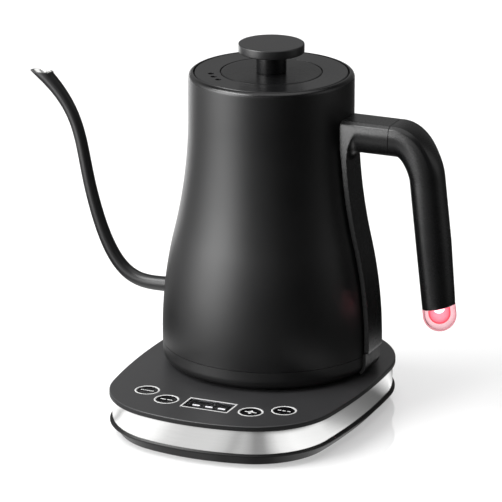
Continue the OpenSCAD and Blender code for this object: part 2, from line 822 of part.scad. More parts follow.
arm_w = 2 * strip_half_w;
arm_h = arm_up + arm_down;
arm_root_x = body_r(arm_low) + strip_t;
joint_gap = 0.15;
joint_bevel = 0.35;
elbow_turn = 90 - grip_tilt;
elbow_steps = 16;
elbow_c = [arm_end_x, arm_z - elbow_r];
grip_dir = [sin(grip_tilt), -cos(grip_tilt)];
grip_start = elbow_c + elbow_r * [cos(grip_tilt), sin(grip_tilt)];
grip_len = (grip_start.y - grip_end_z) / cos(grip_tilt);
grip_end = grip_start + grip_len * grip_dir;
end_dir = [sin(grip_tilt + grip_end_slant), -cos(grip_tilt + grip_end_slant)];
pocket_r = lens_r - grip_wall;

// Depth, width and squareness of the handle's section at a share of the elbow's turn
elbow_start_h = 20.5;
function round_section(share) =
    let (bump = sin(180 * share),
         h = elbow_start_h + (grip_h - elbow_start_h) * share
             + (elbow_h - (elbow_start_h + grip_h) / 2) * bump,
         w = arm_w + (grip_w - arm_w) * share)
    rounded_square(h / 2, w / 2, elbow_square + (grip_square - elbow_square) * share, loft_sides);

// The arm's flat-topped section blends into the round one over the first part of the elbow
function elbow_section(share, less = 0) =
    let (t = min(share / flat_share, 1), blend = t * t * (3 - 2 * t), round = round_section(share),
         flat = arm_section(arm_up - less, arm_down - less, arm_w / 2 - less, arm_edge_r, 2))
    [for (j = [0:loft_sides - 1]) (1 - blend) * flat[j] + blend * round[j]];
function elbow_ring(share, less = 0) =
    let (a = elbow_turn * share)
    handle_ring(elbow_c + elbow_r * [sin(a), cos(a)], [cos(a), -sin(a)], elbow_section(share, less));

module handle_arm() {
    pocket_h = bracket_t + 2;
    fillet_steps = 5;
    root_square = 14;
    function root_ring(x, share) =
        handle_ring([x, arm_z], [1, 0], arm_section(
            arm_up, arm_down + arm_fillet_r * (1 - share), arm_w / 2, arm_edge_r,
            2 + (root_square - 2) * pow(1 - share, 2)));
    joint_a = joint_gap / 2 / elbow_r / PI * 180 / elbow_turn;
    color("#202022")
        difference() {
            skin(concat(
                [root_ring(top_r - wall, 0)],
                [for (k = [0:fillet_steps]) let (a = 90 * k / fillet_steps)
                    root_ring(arm_root_x + arm_fillet_r * (1 - cos(a)), sin(a))],
                [elbow_ring(0), elbow_ring(joint_share - joint_a)]
            ));
            body_form(strip_gap, root_low - eps, arm_z + arm_h);
            translate([top_r, -window_half, arm_z - pocket_h / 2])
                cube([bracket_reach + strip_t, 2 * window_half, pocket_h]);
            translate([handle_screw_x, 0, 0]) {
                rod(handle_screw_r + fit, root_low, arm_z, $fn = small_fn);
                rod(2 * handle_screw_r + 2 * fit, root_low, screw_seat_z, $fn = small_fn);
            }
        }
}

handle_screw_x = top_r + 12;
screw_seat_z = arm_low + 4;

// A steel angle is welded to the body: its pad follows the wall and its tongue reaches into the arm
module handle_bracket() {
    color("silver")
        difference() {
            translate([top_r, -bracket_w / 2, arm_z - bracket_t / 2])
                cube([bracket_reach, bracket_w, bracket_t]);
            rod(top_r + fit / 2, arm_z - bracket_t, arm_z + bracket_t);
            translate([handle_screw_x, 0, 0])
                rod(handle_screw_r + fit / 4, arm_z - bracket_t, arm_z + bracket_t, $fn = small_fn);
        }
}

module handle_screw() {
    head_h = 2;
    color("silver")
        translate([handle_screw_x, 0, 0]) {
            rod(handle_screw_r, screw_seat_z - head_h, arm_z + bracket_t / 2, $fn = small_fn);
            rod(2 * handle_screw_r, screw_seat_z - head_h, screw_seat_z, $fn = small_fn);
        }
}

module handle_grip() {
    end_section = rounded_square(lens_r, lens_r, 2, loft_sides);
    pocket = rounded_square(pocket_r, pocket_r, 2, loft_sides);
    joint_a = joint_gap / 2 / elbow_r / PI * 180 / elbow_turn;
    bevel_a = joint_bevel / elbow_r / PI * 180 / elbow_turn;
    first = joint_share + joint_a;
    color("#202022")
        skin(concat(
            [elbow_ring(first, joint_bevel), elbow_ring(first + bevel_a)],
            [for (i = [1:elbow_steps]) elbow_ring(first + bevel_a + (1 - first - bevel_a) * i / elbow_steps)],
            [for (share = [0.5, 0.8])
                handle_ring(grip_start + share * grip_len * grip_dir, grip_dir, elbow_section(1))],
            [handle_ring(grip_end, end_dir, end_section),
             handle_ring(grip_end, end_dir, pocket),
             handle_ring(grip_end - pocket_depth * grip_dir, grip_dir, pocket)]
        ));
}

// Indicator at the grip's end ----------------------------------------------------------------------

// Moves to the grip's lower end, with -Z along the grip
module at_grip_end() {
    translate([grip_end.x, 0, grip_end.y])
        rotate([0, -grip_tilt, 0]) children();
}

lens_cut = 0.15;
spigot_h = 4;
spigot_r = pocket_r - 0.3;

module indicator_lens() {
    half = 3 * lens_r;
    inner = lens_r - lens_wall;
    color([0.95, 0.92, 0.93, 0.5])
        at_grip_end()
            difference() {
                union() {
                    difference() {
                        rotate_extrude()
                            polygon(concat(
                                [[0, -lens_straight - lens_r]],
                                arc(0, -lens_straight, lens_r, -90 + 90 / arc_steps, 0, arc_steps - 1),
                                [[lens_r, 2], [0, 2]]
                            ));
                        rotate([0, -grip_end_slant, 0])
                            translate([-half, -half, -lens_cut]) cube(2 * half);
                    }
                    rod(spigot_r, -2, spigot_h);
                }
                rotate_extrude()
                    polygon(concat(
                        [[0, -lens_straight - inner]],
                        arc(0, -lens_straight, inner, -90 + 90 / arc_steps, -15, arc_steps - 2),
                        [[spigot_r - lens_wall, -lens_straight + 2], [spigot_r - lens_wall, spigot_h + 1],
                         [0, spigot_h + 1]]
                    ));
            }
}

module light_guide() {
    bore_low = -2;
    color([0.95, 0.35, 0.42, 0.8])
        at_grip_end()
            rotate_extrude()
                polygon(concat(
                    [[0, -lens_straight - guide_r]],
                    arc(0, -lens_straight, guide_r, -90 + 90 / arc_steps, 0, arc_steps - 1),
                    [[guide_r, spigot_h], [lamp_r + fit, spigot_h], [lamp_r + fit, bore_low], [0, bore_low - 1]]
                ));
}

module indicator_lamp() {
    dome_low = 1.6;
    dome_turn = 75;
    color("white")
        at_grip_end()
            rotate_extrude()
                polygon(concat(
                    [[0, -dome_low]],
                    arc(0, lamp_r - dome_low, lamp_r, -dome_turn, 0, arc_steps),
                    [[lamp_r, spigot_h + fit], [0, spigot_h + fit]]
                ));
}

module lamp_board() {
    color("darkgreen")
        at_grip_end() rod(spigot_r - 0.5, spigot_h + fit, spigot_h + fit + board_t);
}

// Lid ----------------------------------------------------------------------------------------------

lid_r = top_r - rim_round - lid_gap;
cap_z = rim_z - lid_t;
plug_r = neck_r - plug_gap;
plug_z = cap_z - plug_depth;
vent_angles = [for (k = [-1:1]) vent_angle + k * vent_step];
seal_z = plug_z + plug_depth * 0.45;
seal_groove = 1.3;

module lid_cap() {
    edge = 0.4;
    color("#1e1e20")
        difference() {
            rotate_extrude()
                polygon([
                    [knob_screw_r + fit, cap_z], [lid_r, cap_z], [lid_r, rim_z - edge], [lid_r - edge, rim_z],
                    [disc_r + disc_gap / 2, rim_z], [disc_r + disc_gap / 2, rim_z - disc_t],
                    [knob_screw_r + fit, rim_z - disc_t]
                ]);
            on_circle(vent_circle_r, vent_angles) rod(vent_r, cap_z - eps, rim_z + eps, $fn = small_fn);
        }
}

module lid_disc() {
    color("#1e1e20")
        tube(disc_r - disc_gap / 2, knob_screw_r + fit, rim_z - disc_t, rim_z);
}

module lid_plug() {
    color("#2a2a2c")
        difference() {
            rotate_extrude()
                polygon([
                    [0, plug_z], [plug_r - 1.5, plug_z], [plug_r, plug_z + 1.5], [plug_r, seal_z],
                    [plug_r - seal_groove, seal_z], [plug_r - seal_groove, seal_z + seal_h],
                    [plug_r, seal_z + seal_h], [plug_r, cap_z], [plug_r - plug_wall, cap_z],
                    [plug_r - plug_wall, plug_z + plug_wall], [0, plug_z + plug_wall]
                ]);
            on_circle(vent_circle_r - 1, vent_angles)
                rod(2 * vent_r, plug_z - eps, plug_z + plug_wall + eps, $fn = small_fn);
        }
}

module lid_seal() {
    base_r = plug_r - seal_groove + fit / 2;
    body_r1 = plug_r + 0.2;
    lip_r = neck_r - seal_gap;
    low = seal_z + fit / 2;
    high = seal_z + seal_h - fit / 2;
    mid = (low + high) / 2;
    color("gray")
        rotate_extrude()
            polygon([
                [base_r, low], [body_r1, low], [lip_r, low + 0.8], [lip_r, low + 1.2], [body_r1, mid],
                [lip_r, mid + 0.8], [lip_r, mid + 1.2], [body_r1, high], [base_r, high]
            ]);
}

knob_z = rim_z + stem_h;

module knob_stem() {
    edge = 0.4;
    color("#1e1e20")
        rotate_extrude()
            polygon([
                [knob_screw_r + fit, rim_z], [stem_r - edge, rim_z], [stem_r, rim_z + edge],
                [stem_r, knob_z], [knob_screw_r + fit, knob_z]
            ]);
}

module knob_cap() {
    edge = 0.5;
    bore_h = knob_t - 2;
    color("#1e1e20")
        rotate_extrude()
            polygon([
                [knob_screw_r + fit, knob_z], [knob_r - edge, knob_z], [knob_r, knob_z + edge],
                [knob_r, knob_z + knob_t - edge], [knob_r - edge, knob_z + knob_t], [0, knob_z + knob_t],
                [0, knob_z + bore_h], [knob_screw_r + fit, knob_z + bore_h]
            ]);
}

module knob_screw() {
    head_h = 2.4;
    color("silver") {
        rod(knob_screw_r, cap_z - head_h, knob_z + knob_t - 2.4, $fn = small_fn);
        rod(2 * knob_screw_r, cap_z - head_h, cap_z, $fn = small_fn);
    }
}

// Power base ---------------------------------------------------------------------------------------

button_places = [
    [-outer_button_x, -outer_button_y], [-inner_button_x, -inner_button_y],
    [inner_button_x, -inner_button_y], [outer_button_x, -outer_button_y]
];
trim_ledge = trim_t + 0.05;
window_ledge = 1.25;
window_lip = 2.5;

module at_buttons() {
    for (place = button_places)
        translate([place.x, place.y, 0]) children();
}

module slab(half_w, half_d, low, high) {
    translate([-half_w, -display_y - half_d, low])
        cube([2 * half_w, 2 * half_d, high - low]);
}

module top_plate() {
    color("#1b1b1d")
        difference() {
            base_slab(0, plate_z, plate_top);
            rod(tower_r + fit, plate_z - eps, plate_top + eps);
            at_buttons() {
                rod(button_r + button_gap, plate_z - eps, plate_top + eps);
                rod(trim_r + fit / 2, plate_top - trim_ledge, plate_top + eps);
            }
            slab(display_half_w + fit / 2, display_half_d + fit / 2, plate_top - window_ledge, plate_top + eps);
            slab(display_half_w - window_lip, display_half_d - window_lip, plate_z - eps, plate_top + eps);
        }
}

module steel_band() {
    color("silver")
        difference() {
            base_slab(band_inset, band_z, plate_z);
            base_slab(band_inset + band_t, band_z - eps, plate_z + eps);
            grommet_place() cylinder(r = grommet_r + fit, h = grommet_length + 2 * base_wall);
        }
}

// The tapering skirt with the thin lip that the band stands on, as rings round the base's outline
module base_skirt() {
    section = [
        [housing_inset - fit, housing_z], [housing_inset - fit, lip_z - fit], [wall_inset - fit, lip_z - fit],
        [wall_inset - fit, band_z], [lip_inset, band_z], [lip_inset, lip_z], [skirt_top_inset, lip_z],
        [skirt_low_inset, housing_z]
    ];
    color("#19191b")
        skin([for (p = section) [for (q = base_outline(p[0])) [q.x, q.y, p[1]]]], looped = true);
}

board_z = housing_z + housing_floor + 10.4;
board_half_w = outer_button_x + 5.8;
board_half_d = 11;
board_y = -(display_y - 5.4);
post_places = [[-42, 7], [42, 7], [-36, -7], [36, -7]];
board_post_r = 3;
base_screw_places = [[-46, -66], [46, -66], [-44, 40], [44, 40]];
base_screw_r = 1.5;
foot_places = [[-42, -88], [42, -88], [-46, 24], [46, 24], [0, 0]];

// The tub: a floor that sits inside the skirt, a step over it and the wall behind the band
module base_housing() {
    step_inset = housing_inset + base_wall;
    color("#19191b")
        difference() {
            union() {
                difference() {
                    union() {
                        base_slab(housing_inset, housing_z, band_z);
                        base_slab(wall_inset, lip_z, plate_z - wall_top_gap);
                    }
                    base_slab(step_inset, housing_z + housing_floor, band_z + eps);
                    base_slab(wall_inset + base_wall, band_z, plate_z);
                }
                for (p = post_places)
                    translate([p.x, board_y + p.y, 0])
                        rod(board_post_r, housing_z, board_z, $fn = small_fn);
                for (p = base_screw_places)
                    translate([p.x, p.y, 0])
                        rod(base_screw_r + 1.5, housing_z, plate_z - wall_top_gap, $fn = small_fn);
            }
            for (p = foot_places)
                translate([p.x, p.y, 0]) rod(foot_r + fit, 0, housing_z + foot_seat);
            for (p = base_screw_places)
                translate([p.x, p.y, 0]) {
                    rod(base_screw_r + fit, 0, plate_z, $fn = small_fn);
                    rod(2 * base_screw_r + fit, 0, housing_z + 1, $fn = small_fn);
                }
            grommet_place() cylinder(r = grommet_r + fit, h = grommet_length + 2 * base_wall);
        }
}

module base_feet() {
    color("#2b2b2b")
        for (p = foot_places)
            translate([p.x, p.y, 0]) rod(foot_r, 0, housing_z + foot_seat);
}

module base_screws() {
    color("silver")
        for (p = base_screw_places)
            translate([p.x, p.y, 0]) {
                rod(base_screw_r, housing_z + fit, plate_z - fit, $fn = small_fn);
                rod(2 * base_screw_r, housing_z + fit, housing_z + 1, $fn = small_fn);
            }
}

// The grommet lies across the housing's rear wall, on the base's centreline
grommet_r = 4.6;
grommet_flange_r = 5.8;
grommet_flange_t = 1.4;
grommet_length = 9;
grommet_z = band_z + band_h / 2;

module grommet_place() {
    translate([0, base_back - wall_inset - base_wall - 2, grommet_z])
        rotate([-90, 0, 0]) children();
}

module cord_grommet() {
    wall_bow = pow(grommet_flange_r, 2) / 2 / (back_bow_r - wall_inset - base_wall);
    inner_flange = 2 - fit - wall_bow;
    color("#1a1a1a")
        grommet_place()
            difference() {
                union() {
                    translate([0, 0, inner_flange - grommet_flange_t])
                        cylinder(r = grommet_flange_r, h = grommet_flange_t);
                    cylinder(r = grommet_r, h = grommet_length - 2);
                    translate([0, 0, wall_inset - band_inset + base_wall + 2 + fit])
                        cylinder(r = grommet_flange_r, h = grommet_flange_t);
                }
                translate([0, 0, -grommet_flange_t]) cylinder(r = cord_hole_r, h = 2 * grommet_length);
            }
}

// Base half of the coupler --------------------------------------------------------------------------

tower_wall = 2;
tower_flange_r = tower_r + 4;
tower_floor_z = plate_z - 4;
tower_floor_t = 1.6;
collar_z = tower_floor_z + tower_floor_t + fit;
pin_r = 2;

module coupler_tower() {
    color("#161618")
        rotate_extrude()
            polygon([
                [pin_r + fit, tower_floor_z], [tower_r, tower_floor_z], [tower_r, plate_z - 2],
                [tower_flange_r, plate_z - 2], [tower_flange_r, plate_z], [tower_r, plate_z],
                [tower_r, plate_top + tower_h - 0.5], [tower_r - 0.5, plate_top + tower_h],
                [tower_r - tower_wall, plate_top + tower_h],
                [tower_r - tower_wall, tower_floor_z + tower_floor_t],
                [post_r, tower_floor_z + tower_floor_t], [post_r, plate_top + post_h - 1],
                [post_r - 1, plate_top + post_h], [pin_r + fit, plate_top + post_h]
            ]);
}

module contact_pin() {
    color("goldenrod")
        rotate_extrude()
            polygon([
                [0, tower_floor_z - 3], [pin_r, tower_floor_z - 3], [pin_r, plate_top + post_h - 0.6],
                [pin_r - 0.5, plate_top + post_h - 0.1], [0, plate_top + post_h - 0.1]
            ]);
}

module contact_ring() {
    gap = 0.4;
    color("goldenrod")
        tube(tower_r - tower_wall - fit, collar_r + gap, tower_floor_z + tower_floor_t, plate_top - 1);
}

// The collar turns on the post with the kettle and stays on the base when the kettle is lifted
module coupler_collar() {
    top = plate_top + collar_h;
    color("#2c2c2e")
        rotate_extrude()
            polygon([
                [post_r + collar_fit, collar_z], [collar_r, collar_z], [collar_r, top - 1],
                [collar_r - 1, top], [post_r + collar_fit, top]
            ]);
}

// Controls ---------------------------------------------------------------------------------------

flange_h = 1;
flange_gap = 0.2;
plunger_top = board_z + board_t + switch_h + 0.75;
button_stem_z = plunger_top + button_travel + 0.05;

module button_at(place) {
    top = plate_top + 0.1;
    color("#0e0e10")
        translate([place.x, place.y, 0])
            rotate_extrude()
                polygon([
                    [0, button_stem_z], [1.8, button_stem_z], [1.8, plate_z - flange_gap - flange_h],
                    [button_r + 1, plate_z - flange_gap - flange_h], [button_r + 1, plate_z - flange_gap],
                    [button_r, plate_z - flange_gap], [button_r, top - 0.4], [button_r - 0.4, top],
                    [button_r - 1.2, top], [0, top - 0.35]
                ]);
}

module button_left_outer() {
    button_at(button_places[0]);
}

module button_left_inner() {
    button_at(button_places[1]);
}

module button_right_inner() {
    button_at(button_places[2]);
}

module button_right_outer() {
    button_at(button_places[3]);
}

module button_trims() {
    color("white")
        at_buttons() tube(trim_r, trim_r - trim_w, plate_top - trim_t, plate_top);
}

module display_window() {
    color("#050506")
        slab(display_half_w - frame_w - fit / 2, display_half_d - frame_w - fit / 2,
             plate_top - window_ledge + 0.05, plate_top - 0.05);
}

module display_frame() {
    color("white")
        difference() {
            slab(display_half_w, display_half_d, plate_top - window_ledge + 0.05, plate_top);
            slab(display_half_w - frame_w, display_half_d - frame_w, plate_top - window_ledge, plate_top + eps);
        }
}

module_top = plate_top - window_ledge - 0.6;

module display_dashes() {
    dash_t = 0.4;
    color("white")
        for (k = [-1:1])
            translate([k * dash_step - dash_w / 2, -display_y - dash_d / 2, module_top])
                cube([dash_w, dash_d, dash_t]);
}

module display_module() {
    color("#111111")
        slab(display_half_w - window_lip - 0.5, display_half_d - window_lip - 0.3, board_z + board_t, module_top);
}

module control_board() {
    color("darkgreen")
        translate([-board_half_w, board_y - board_half_d, board_z])
            cube([2 * board_half_w, 2 * board_half_d, board_t]);
}

module key_switches() {
    half = 3;
    color("silver")
        at_buttons() {
            translate([-half, -half, board_z + board_t]) cube([2 * half, 2 * half, switch_h]);
            rod(1.7, board_z + board_t, plunger_top, $fn = small_fn);
        }
}

body_shell();
vessel_floor();
heat_plate();
heating_element();
temperature_probe();
probe_seal();
dry_boil_thermostat();
coupler_socket();
bottom_ring();
bottom_cover();
cover_screws();
lid_seat();
spout_tube();
handle_strip();
handle_bracket();
handle_arm();
handle_screw();
handle_grip();
indicator_lens();
light_guide();
indicator_lamp();
lamp_board();
lid_cap();
lid_disc();
lid_plug();
lid_seal();
knob_stem();
knob_cap();
knob_screw();
top_plate();
steel_band();
base_skirt();
base_housing();
base_feet();
base_screws();
coupler_tower();
contact_pin();
contact_ring();
coupler_collar();
button_left_outer();
button_left_inner();
button_right_inner();
button_right_outer();
button_trims();
display_window();
display_frame();
display_dashes();
display_module();
control_board();
key_switches();
cord_grommet();
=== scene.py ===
import math

import bmesh
import bpy
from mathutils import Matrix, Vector
from mathutils.geometry import delaunay_2d_cdt


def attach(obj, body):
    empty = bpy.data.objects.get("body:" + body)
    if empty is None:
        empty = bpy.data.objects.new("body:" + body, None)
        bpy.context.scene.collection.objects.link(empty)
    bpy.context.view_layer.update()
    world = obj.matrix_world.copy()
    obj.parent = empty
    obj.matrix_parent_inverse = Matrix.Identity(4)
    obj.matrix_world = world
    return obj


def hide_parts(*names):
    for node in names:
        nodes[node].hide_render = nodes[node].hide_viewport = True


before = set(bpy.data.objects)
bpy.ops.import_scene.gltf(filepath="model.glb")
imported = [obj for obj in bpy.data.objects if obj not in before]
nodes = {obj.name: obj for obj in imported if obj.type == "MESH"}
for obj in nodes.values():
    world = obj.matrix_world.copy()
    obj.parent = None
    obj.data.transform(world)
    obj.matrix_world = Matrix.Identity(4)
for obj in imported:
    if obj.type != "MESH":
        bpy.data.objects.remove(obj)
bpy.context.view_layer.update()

# --------------------------------
# Studio. The kettle stands on a pale sheet in a soft surround: a broad softbox to its front left, a
# weaker one to its right and a white backdrop behind. A small card by the arm lights the handle alone.

scene = bpy.context.scene
scene.view_settings.view_transform = "Standard"

PICTURE_W, FOCAL, FILM_W = 502, 4193.617, 36
LOOK_DOWN, LOOK_ROUND = 18.1395, 23.5365
camera_data = bpy.data.cameras.new("studio_camera")
camera_data.lens = FOCAL / PICTURE_W * FILM_W
camera_data.sensor_width = FILM_W
camera_data.clip_start = 0.05
camera_data.clip_end = 20
camera = bpy.data.objects.new("studio_camera", camera_data)
camera.location = (0.926585, -2.156951, 0.861187)
camera.rotation_euler = (math.radians(90 - LOOK_DOWN), 0, math.radians(LOOK_ROUND))
scene.collection.objects.link(camera)
scene.camera = camera

# Brightness by azimuth in degrees: of the surround, of what the sheet adds to it behind the kettle,
# and of the sheet close to the base, the last two as glossy surfaces see them
SURROUND = [
    (-180, 0.65), (-168, 1.1), (-156, 2.3), (-141, 4.5), (-125, 4.4), (-114, 2.4), (-101, 0.6), (-84, 0.32),
    (-70, 0.20), (-56, 0.05), (-42, 0.02), (-27, 0.02), (-8, 0.12), (6, 0.30), (16, 0.34), (30, 0.20),
    (45, 0.08), (62, 0.05), (90, 0.08), (108, 0.13), (125, 0.18), (150, 0.20), (168, 0.32), (180, 0.6)]
BACK_PANEL = [(-180, 0), (84, 0), (104, 0.4), (118, 1.6), (134, 2.4), (150, 1.6), (162, 0.5), (179, 0)]
NEAR_BASE = [
    (-180, 1.5), (-156, 1.55), (-149, 1.2), (-145, 0.7), (-140, 1.5), (-118, 1.55), (-112, 1.35), (-107, 1.0),
    (-100, 0.88), (-87, 0.90), (-82, 0.78), (-79, 0.55), (-75, 0.68), (-71, 0.55), (-67, 0.36), (-62, 0.40),
    (-57, 0.80), (-52, 1.15), (-42, 1.35), (-30, 1.25), (-16, 1.15), (-9, 0.9), (-2, 0.55), (8, 0.32),
    (22, 0.20), (33, 0.16), (39, 0.6), (46, 1.3), (60, 0.25), (128, 0.25), (160, 1.1), (180, 1.5)]


def new_node(tree, kind):
    return tree.nodes.new("ShaderNode" + kind)


def link(source, target):
    source.id_data.links.new(source, target)


def math_node(tree, operation, first, second):
    node = new_node(tree, "Math")
    node.operation = operation
    for socket, value in zip(node.inputs, (first, second)):
        if isinstance(value, (int, float)):
            socket.default_value = value
        else:
            link(value, socket)
    return node.outputs[0]


def times(tree, first, second):
    return math_node(tree, "MULTIPLY", first, second)


def ranged(tree, value, low, high, to_low=0.0, to_high=1.0):
    node = new_node(tree, "MapRange")
    node.interpolation_type = "SMOOTHSTEP"
    for name, end in zip(("From Min", "From Max", "To Min", "To Max"), (low, high, to_low, to_high)):
        node.inputs[name].default_value = end
    link(value, node.inputs["Value"])
    return node.outputs["Result"]


def by_azimuth(tree, x, y, stops):
    """Brightness in the direction (x, y), from a list of (degrees, brightness)."""
    top = max(value for _, value in stops)
    turn = math_node(tree, "DIVIDE", math_node(tree, "ARCTAN2", y, x), 2 * math.pi)
    ramp = new_node(tree, "ValToRGB")
    link(math_node(tree, "ADD", turn, 0.5), ramp.inputs[0])
    while len(ramp.color_ramp.elements) < len(stops):
        ramp.color_ramp.elements.new(0.5)
    for element, (degrees, value) in zip(ramp.color_ramp.elements, stops):
        element.position = degrees / 360 + 0.5
        element.color = (value / top, value / top, value / top, 1)
    return times(tree, ramp.outputs[0], top)


def sees_backdrop(tree):
    """Light paths, and 1 for rays that meet plain white: the camera's, glass's and the sheet's own."""
    path = new_node(tree, "LightPath")
    direct = math_node(tree, "MAXIMUM", path.outputs["Is Camera Ray"], path.outputs["Is Transmission Ray"])
    return path, math_node(tree, "MAXIMUM", direct, path.outputs["Is Singular Ray"])


def mixed(tree, share, first, second):
    node = new_node(tree, "MixShader")
    link(share, node.inputs[0])
    link(first, node.inputs[1])
    link(second, node.inputs[2])
    return node.outputs[0]


def span(tree, x, y):
    """Length of (x, y)."""
    squares = [times(tree, side, side) for side in (x, y)]
    return math_node(tree, "SQRT", math_node(tree, "ADD", *squares), 0)


world = bpy.data.worlds.new("studio_world")
world.use_nodes = True
scene.world = world
tree = world.node_tree
tree.nodes.clear()
output = new_node(tree, "OutputWorld")
_, plain_rays = sees_backdrop(tree)
direction = new_node(tree, "TexCoord")
axes = new_node(tree, "SeparateXYZ")
link(direction.outputs["Generated"], axes.inputs[0])
x, y, up = axes.outputs
FADE_FROM, FADE_TO, CEILING_FROM, CEILING_TO = 0.46, 0.80, 0.72, 0.92
panels = times(tree, by_azimuth(tree, x, y, SURROUND), ranged(tree, up, FADE_FROM, FADE_TO, 1.0, 0.05))
panels = times(tree, panels, ranged(tree, up, -0.02, 0.12, 1.0, 1.9))
ceiling = ranged(tree, up, CEILING_FROM, CEILING_TO, 0.02, 1.3)
room = new_node(tree, "Background")
link(math_node(tree, "ADD", panels, ceiling), room.inputs["Strength"])
white = new_node(tree, "Background")
white.inputs["Strength"].default_value = 1.0
for background in (room, white):
    background.inputs["Color"].default_value = (1, 1, 1, 1)
link(mixed(tree, plain_rays, room.outputs[0], white.outputs[0]), output.inputs["Surface"])


def softbox(name, place, target, width, height, power):
    data = bpy.data.lights.new(name, "AREA")
    data.shape = "RECTANGLE"
    data.size = width
    data.size_y = height
    data.energy = power
    lamp = bpy.data.objects.new(name, data)
    lamp.location = place
    aim = Vector(target) - Vector(place)
    lamp.rotation_euler = aim.to_track_quat("-Z", "Y").to_euler()
    lamp.visible_camera = False
    scene.collection.objects.link(lamp)
    return lamp


softbox("high_softbox", (-0.55, -0.49, 1.05), (0, 0, 0.1), width=0.85, height=0.40, power=11)
arm_card = softbox("arm_card", (0.006, -0.146, 0.138), (0.062, -0.011, 0.178), width=0.05, height=0.028,
                   power=0.038)
lit_by_card = bpy.data.collections.new("lit_by_arm_card")
arm_card.light_linking.receiver_collection = lit_by_card

FLOOR_HALF = 6
floor_corners = [(x * FLOOR_HALF, y * FLOOR_HALF, 0) for x, y in ((-1, -1), (1, -1), (1, 1), (-1, 1))]
floor_mesh = bpy.data.meshes.new("floor")
floor_mesh.from_pydata(floor_corners, [], [(0, 1, 2, 3)])
floor = bpy.data.objects.new("floor", floor_mesh)
scene.collection.objects.link(floor)
pale = bpy.data.materials.new("pale_sheet")
pale.use_nodes = True
tree = pale.node_tree
sheet = tree.nodes["Principled BSDF"]
sheet.inputs["Base Color"].default_value = (0.60, 0.60, 0.60, 1)
sheet.inputs["Roughness"].default_value = 0.0
sheet.inputs["Specular IOR Level"].default_value = 0.5
path, plain_rays = sees_backdrop(tree)
place = new_node(tree, "NewGeometry")
axes = new_node(tree, "SeparateXYZ")
link(place.outputs["Position"], axes.inputs[0])
x, y, _ = axes.outputs
BASE_FORWARD, NEAR_HALF_W, NEAR_HALF_D = 0.022, 0.073, 0.097
from_base = math_node(tree, "ADD", y, BASE_FORWARD)
across = math_node(tree, "DIVIDE", x, NEAR_HALF_W)
along = math_node(tree, "DIVIDE", from_base, NEAR_HALF_D)
far_share = ranged(tree, span(tree, across, along), 1.7, 2.4)
near = times(tree, by_azimuth(tree, x, from_base, NEAR_BASE), math_node(tree, "SUBTRACT", 1, far_share))
far = math_node(tree, "ADD", by_azimuth(tree, x, y, SURROUND), by_azimuth(tree, x, y, BACK_PANEL))
far = times(tree, far, far_share)
far = times(tree, far, ranged(tree, span(tree, x, y), 0.20, 0.70, 0.15, 1.0))
mirrored = new_node(tree, "Emission")
link(math_node(tree, "ADD", near, far), mirrored.inputs["Strength"])
lift = new_node(tree, "Emission")
link(times(tree, plain_rays, 0.40), lift.inputs["Strength"])
lit = new_node(tree, "AddShader")
link(sheet.outputs[0], lit.inputs[0])
link(lift.outputs[0], lit.inputs[1])
not_through = math_node(tree, "SUBTRACT", 1, path.outputs["Is Transmission Ray"])
off_surfaces = times(tree, path.outputs["Is Glossy Ray"], not_through)
link(mixed(tree, off_surfaces, lit.outputs[0], mirrored.outputs[0]),
     tree.nodes["Material Output"].inputs["Surface"])
floor_mesh.materials.append(pale)

# --------------------------------
# Base housing. A black moulded tub closes the base from below. Round its edge a thin lip carries
# the steel band, and under the lip a skirt tapers in towards the five rubber feet.

MM = 0.001
BASE_HALF_W, BASE_FRONT, BASE_BACK, WIDEST_Y = 72.6, 119.1, 74.0, -17.4
FRONT_BOW, BACK_BOW, SIDE_BOW, FRONT_CORNER, BACK_CORNER = 131.0, 76.0, 414.0, 50.0, 62.0
LIP_Z, BAND_Z, PLATE_Z, PLATE_TOP = 7.1, 8.1, 23.0, 26.0


def speckle(tree, where, scale, detail=3.0, roughness=0.5):
    noise = new_node(tree, "TexNoise")
    noise.inputs["Scale"].default_value = scale
    noise.inputs["Detail"].default_value = detail
    noise.inputs["Roughness"].default_value = roughness
    link(where, noise.inputs["Vector"])
    return noise.outputs[0]


def blend(tree, share, first, second):
    """A colour between two, each a socket or a list of red, green and blue."""
    node = new_node(tree, "Mix")
    node.data_type = "RGBA"
    link(share, node.inputs[0])
    for socket, colour in zip((node.inputs[6], node.inputs[7]), (first, second)):
        if isinstance(colour, list):
            socket.default_value = (*colour, 1)
        else:
            link(colour, socket)
    return node.outputs[2]


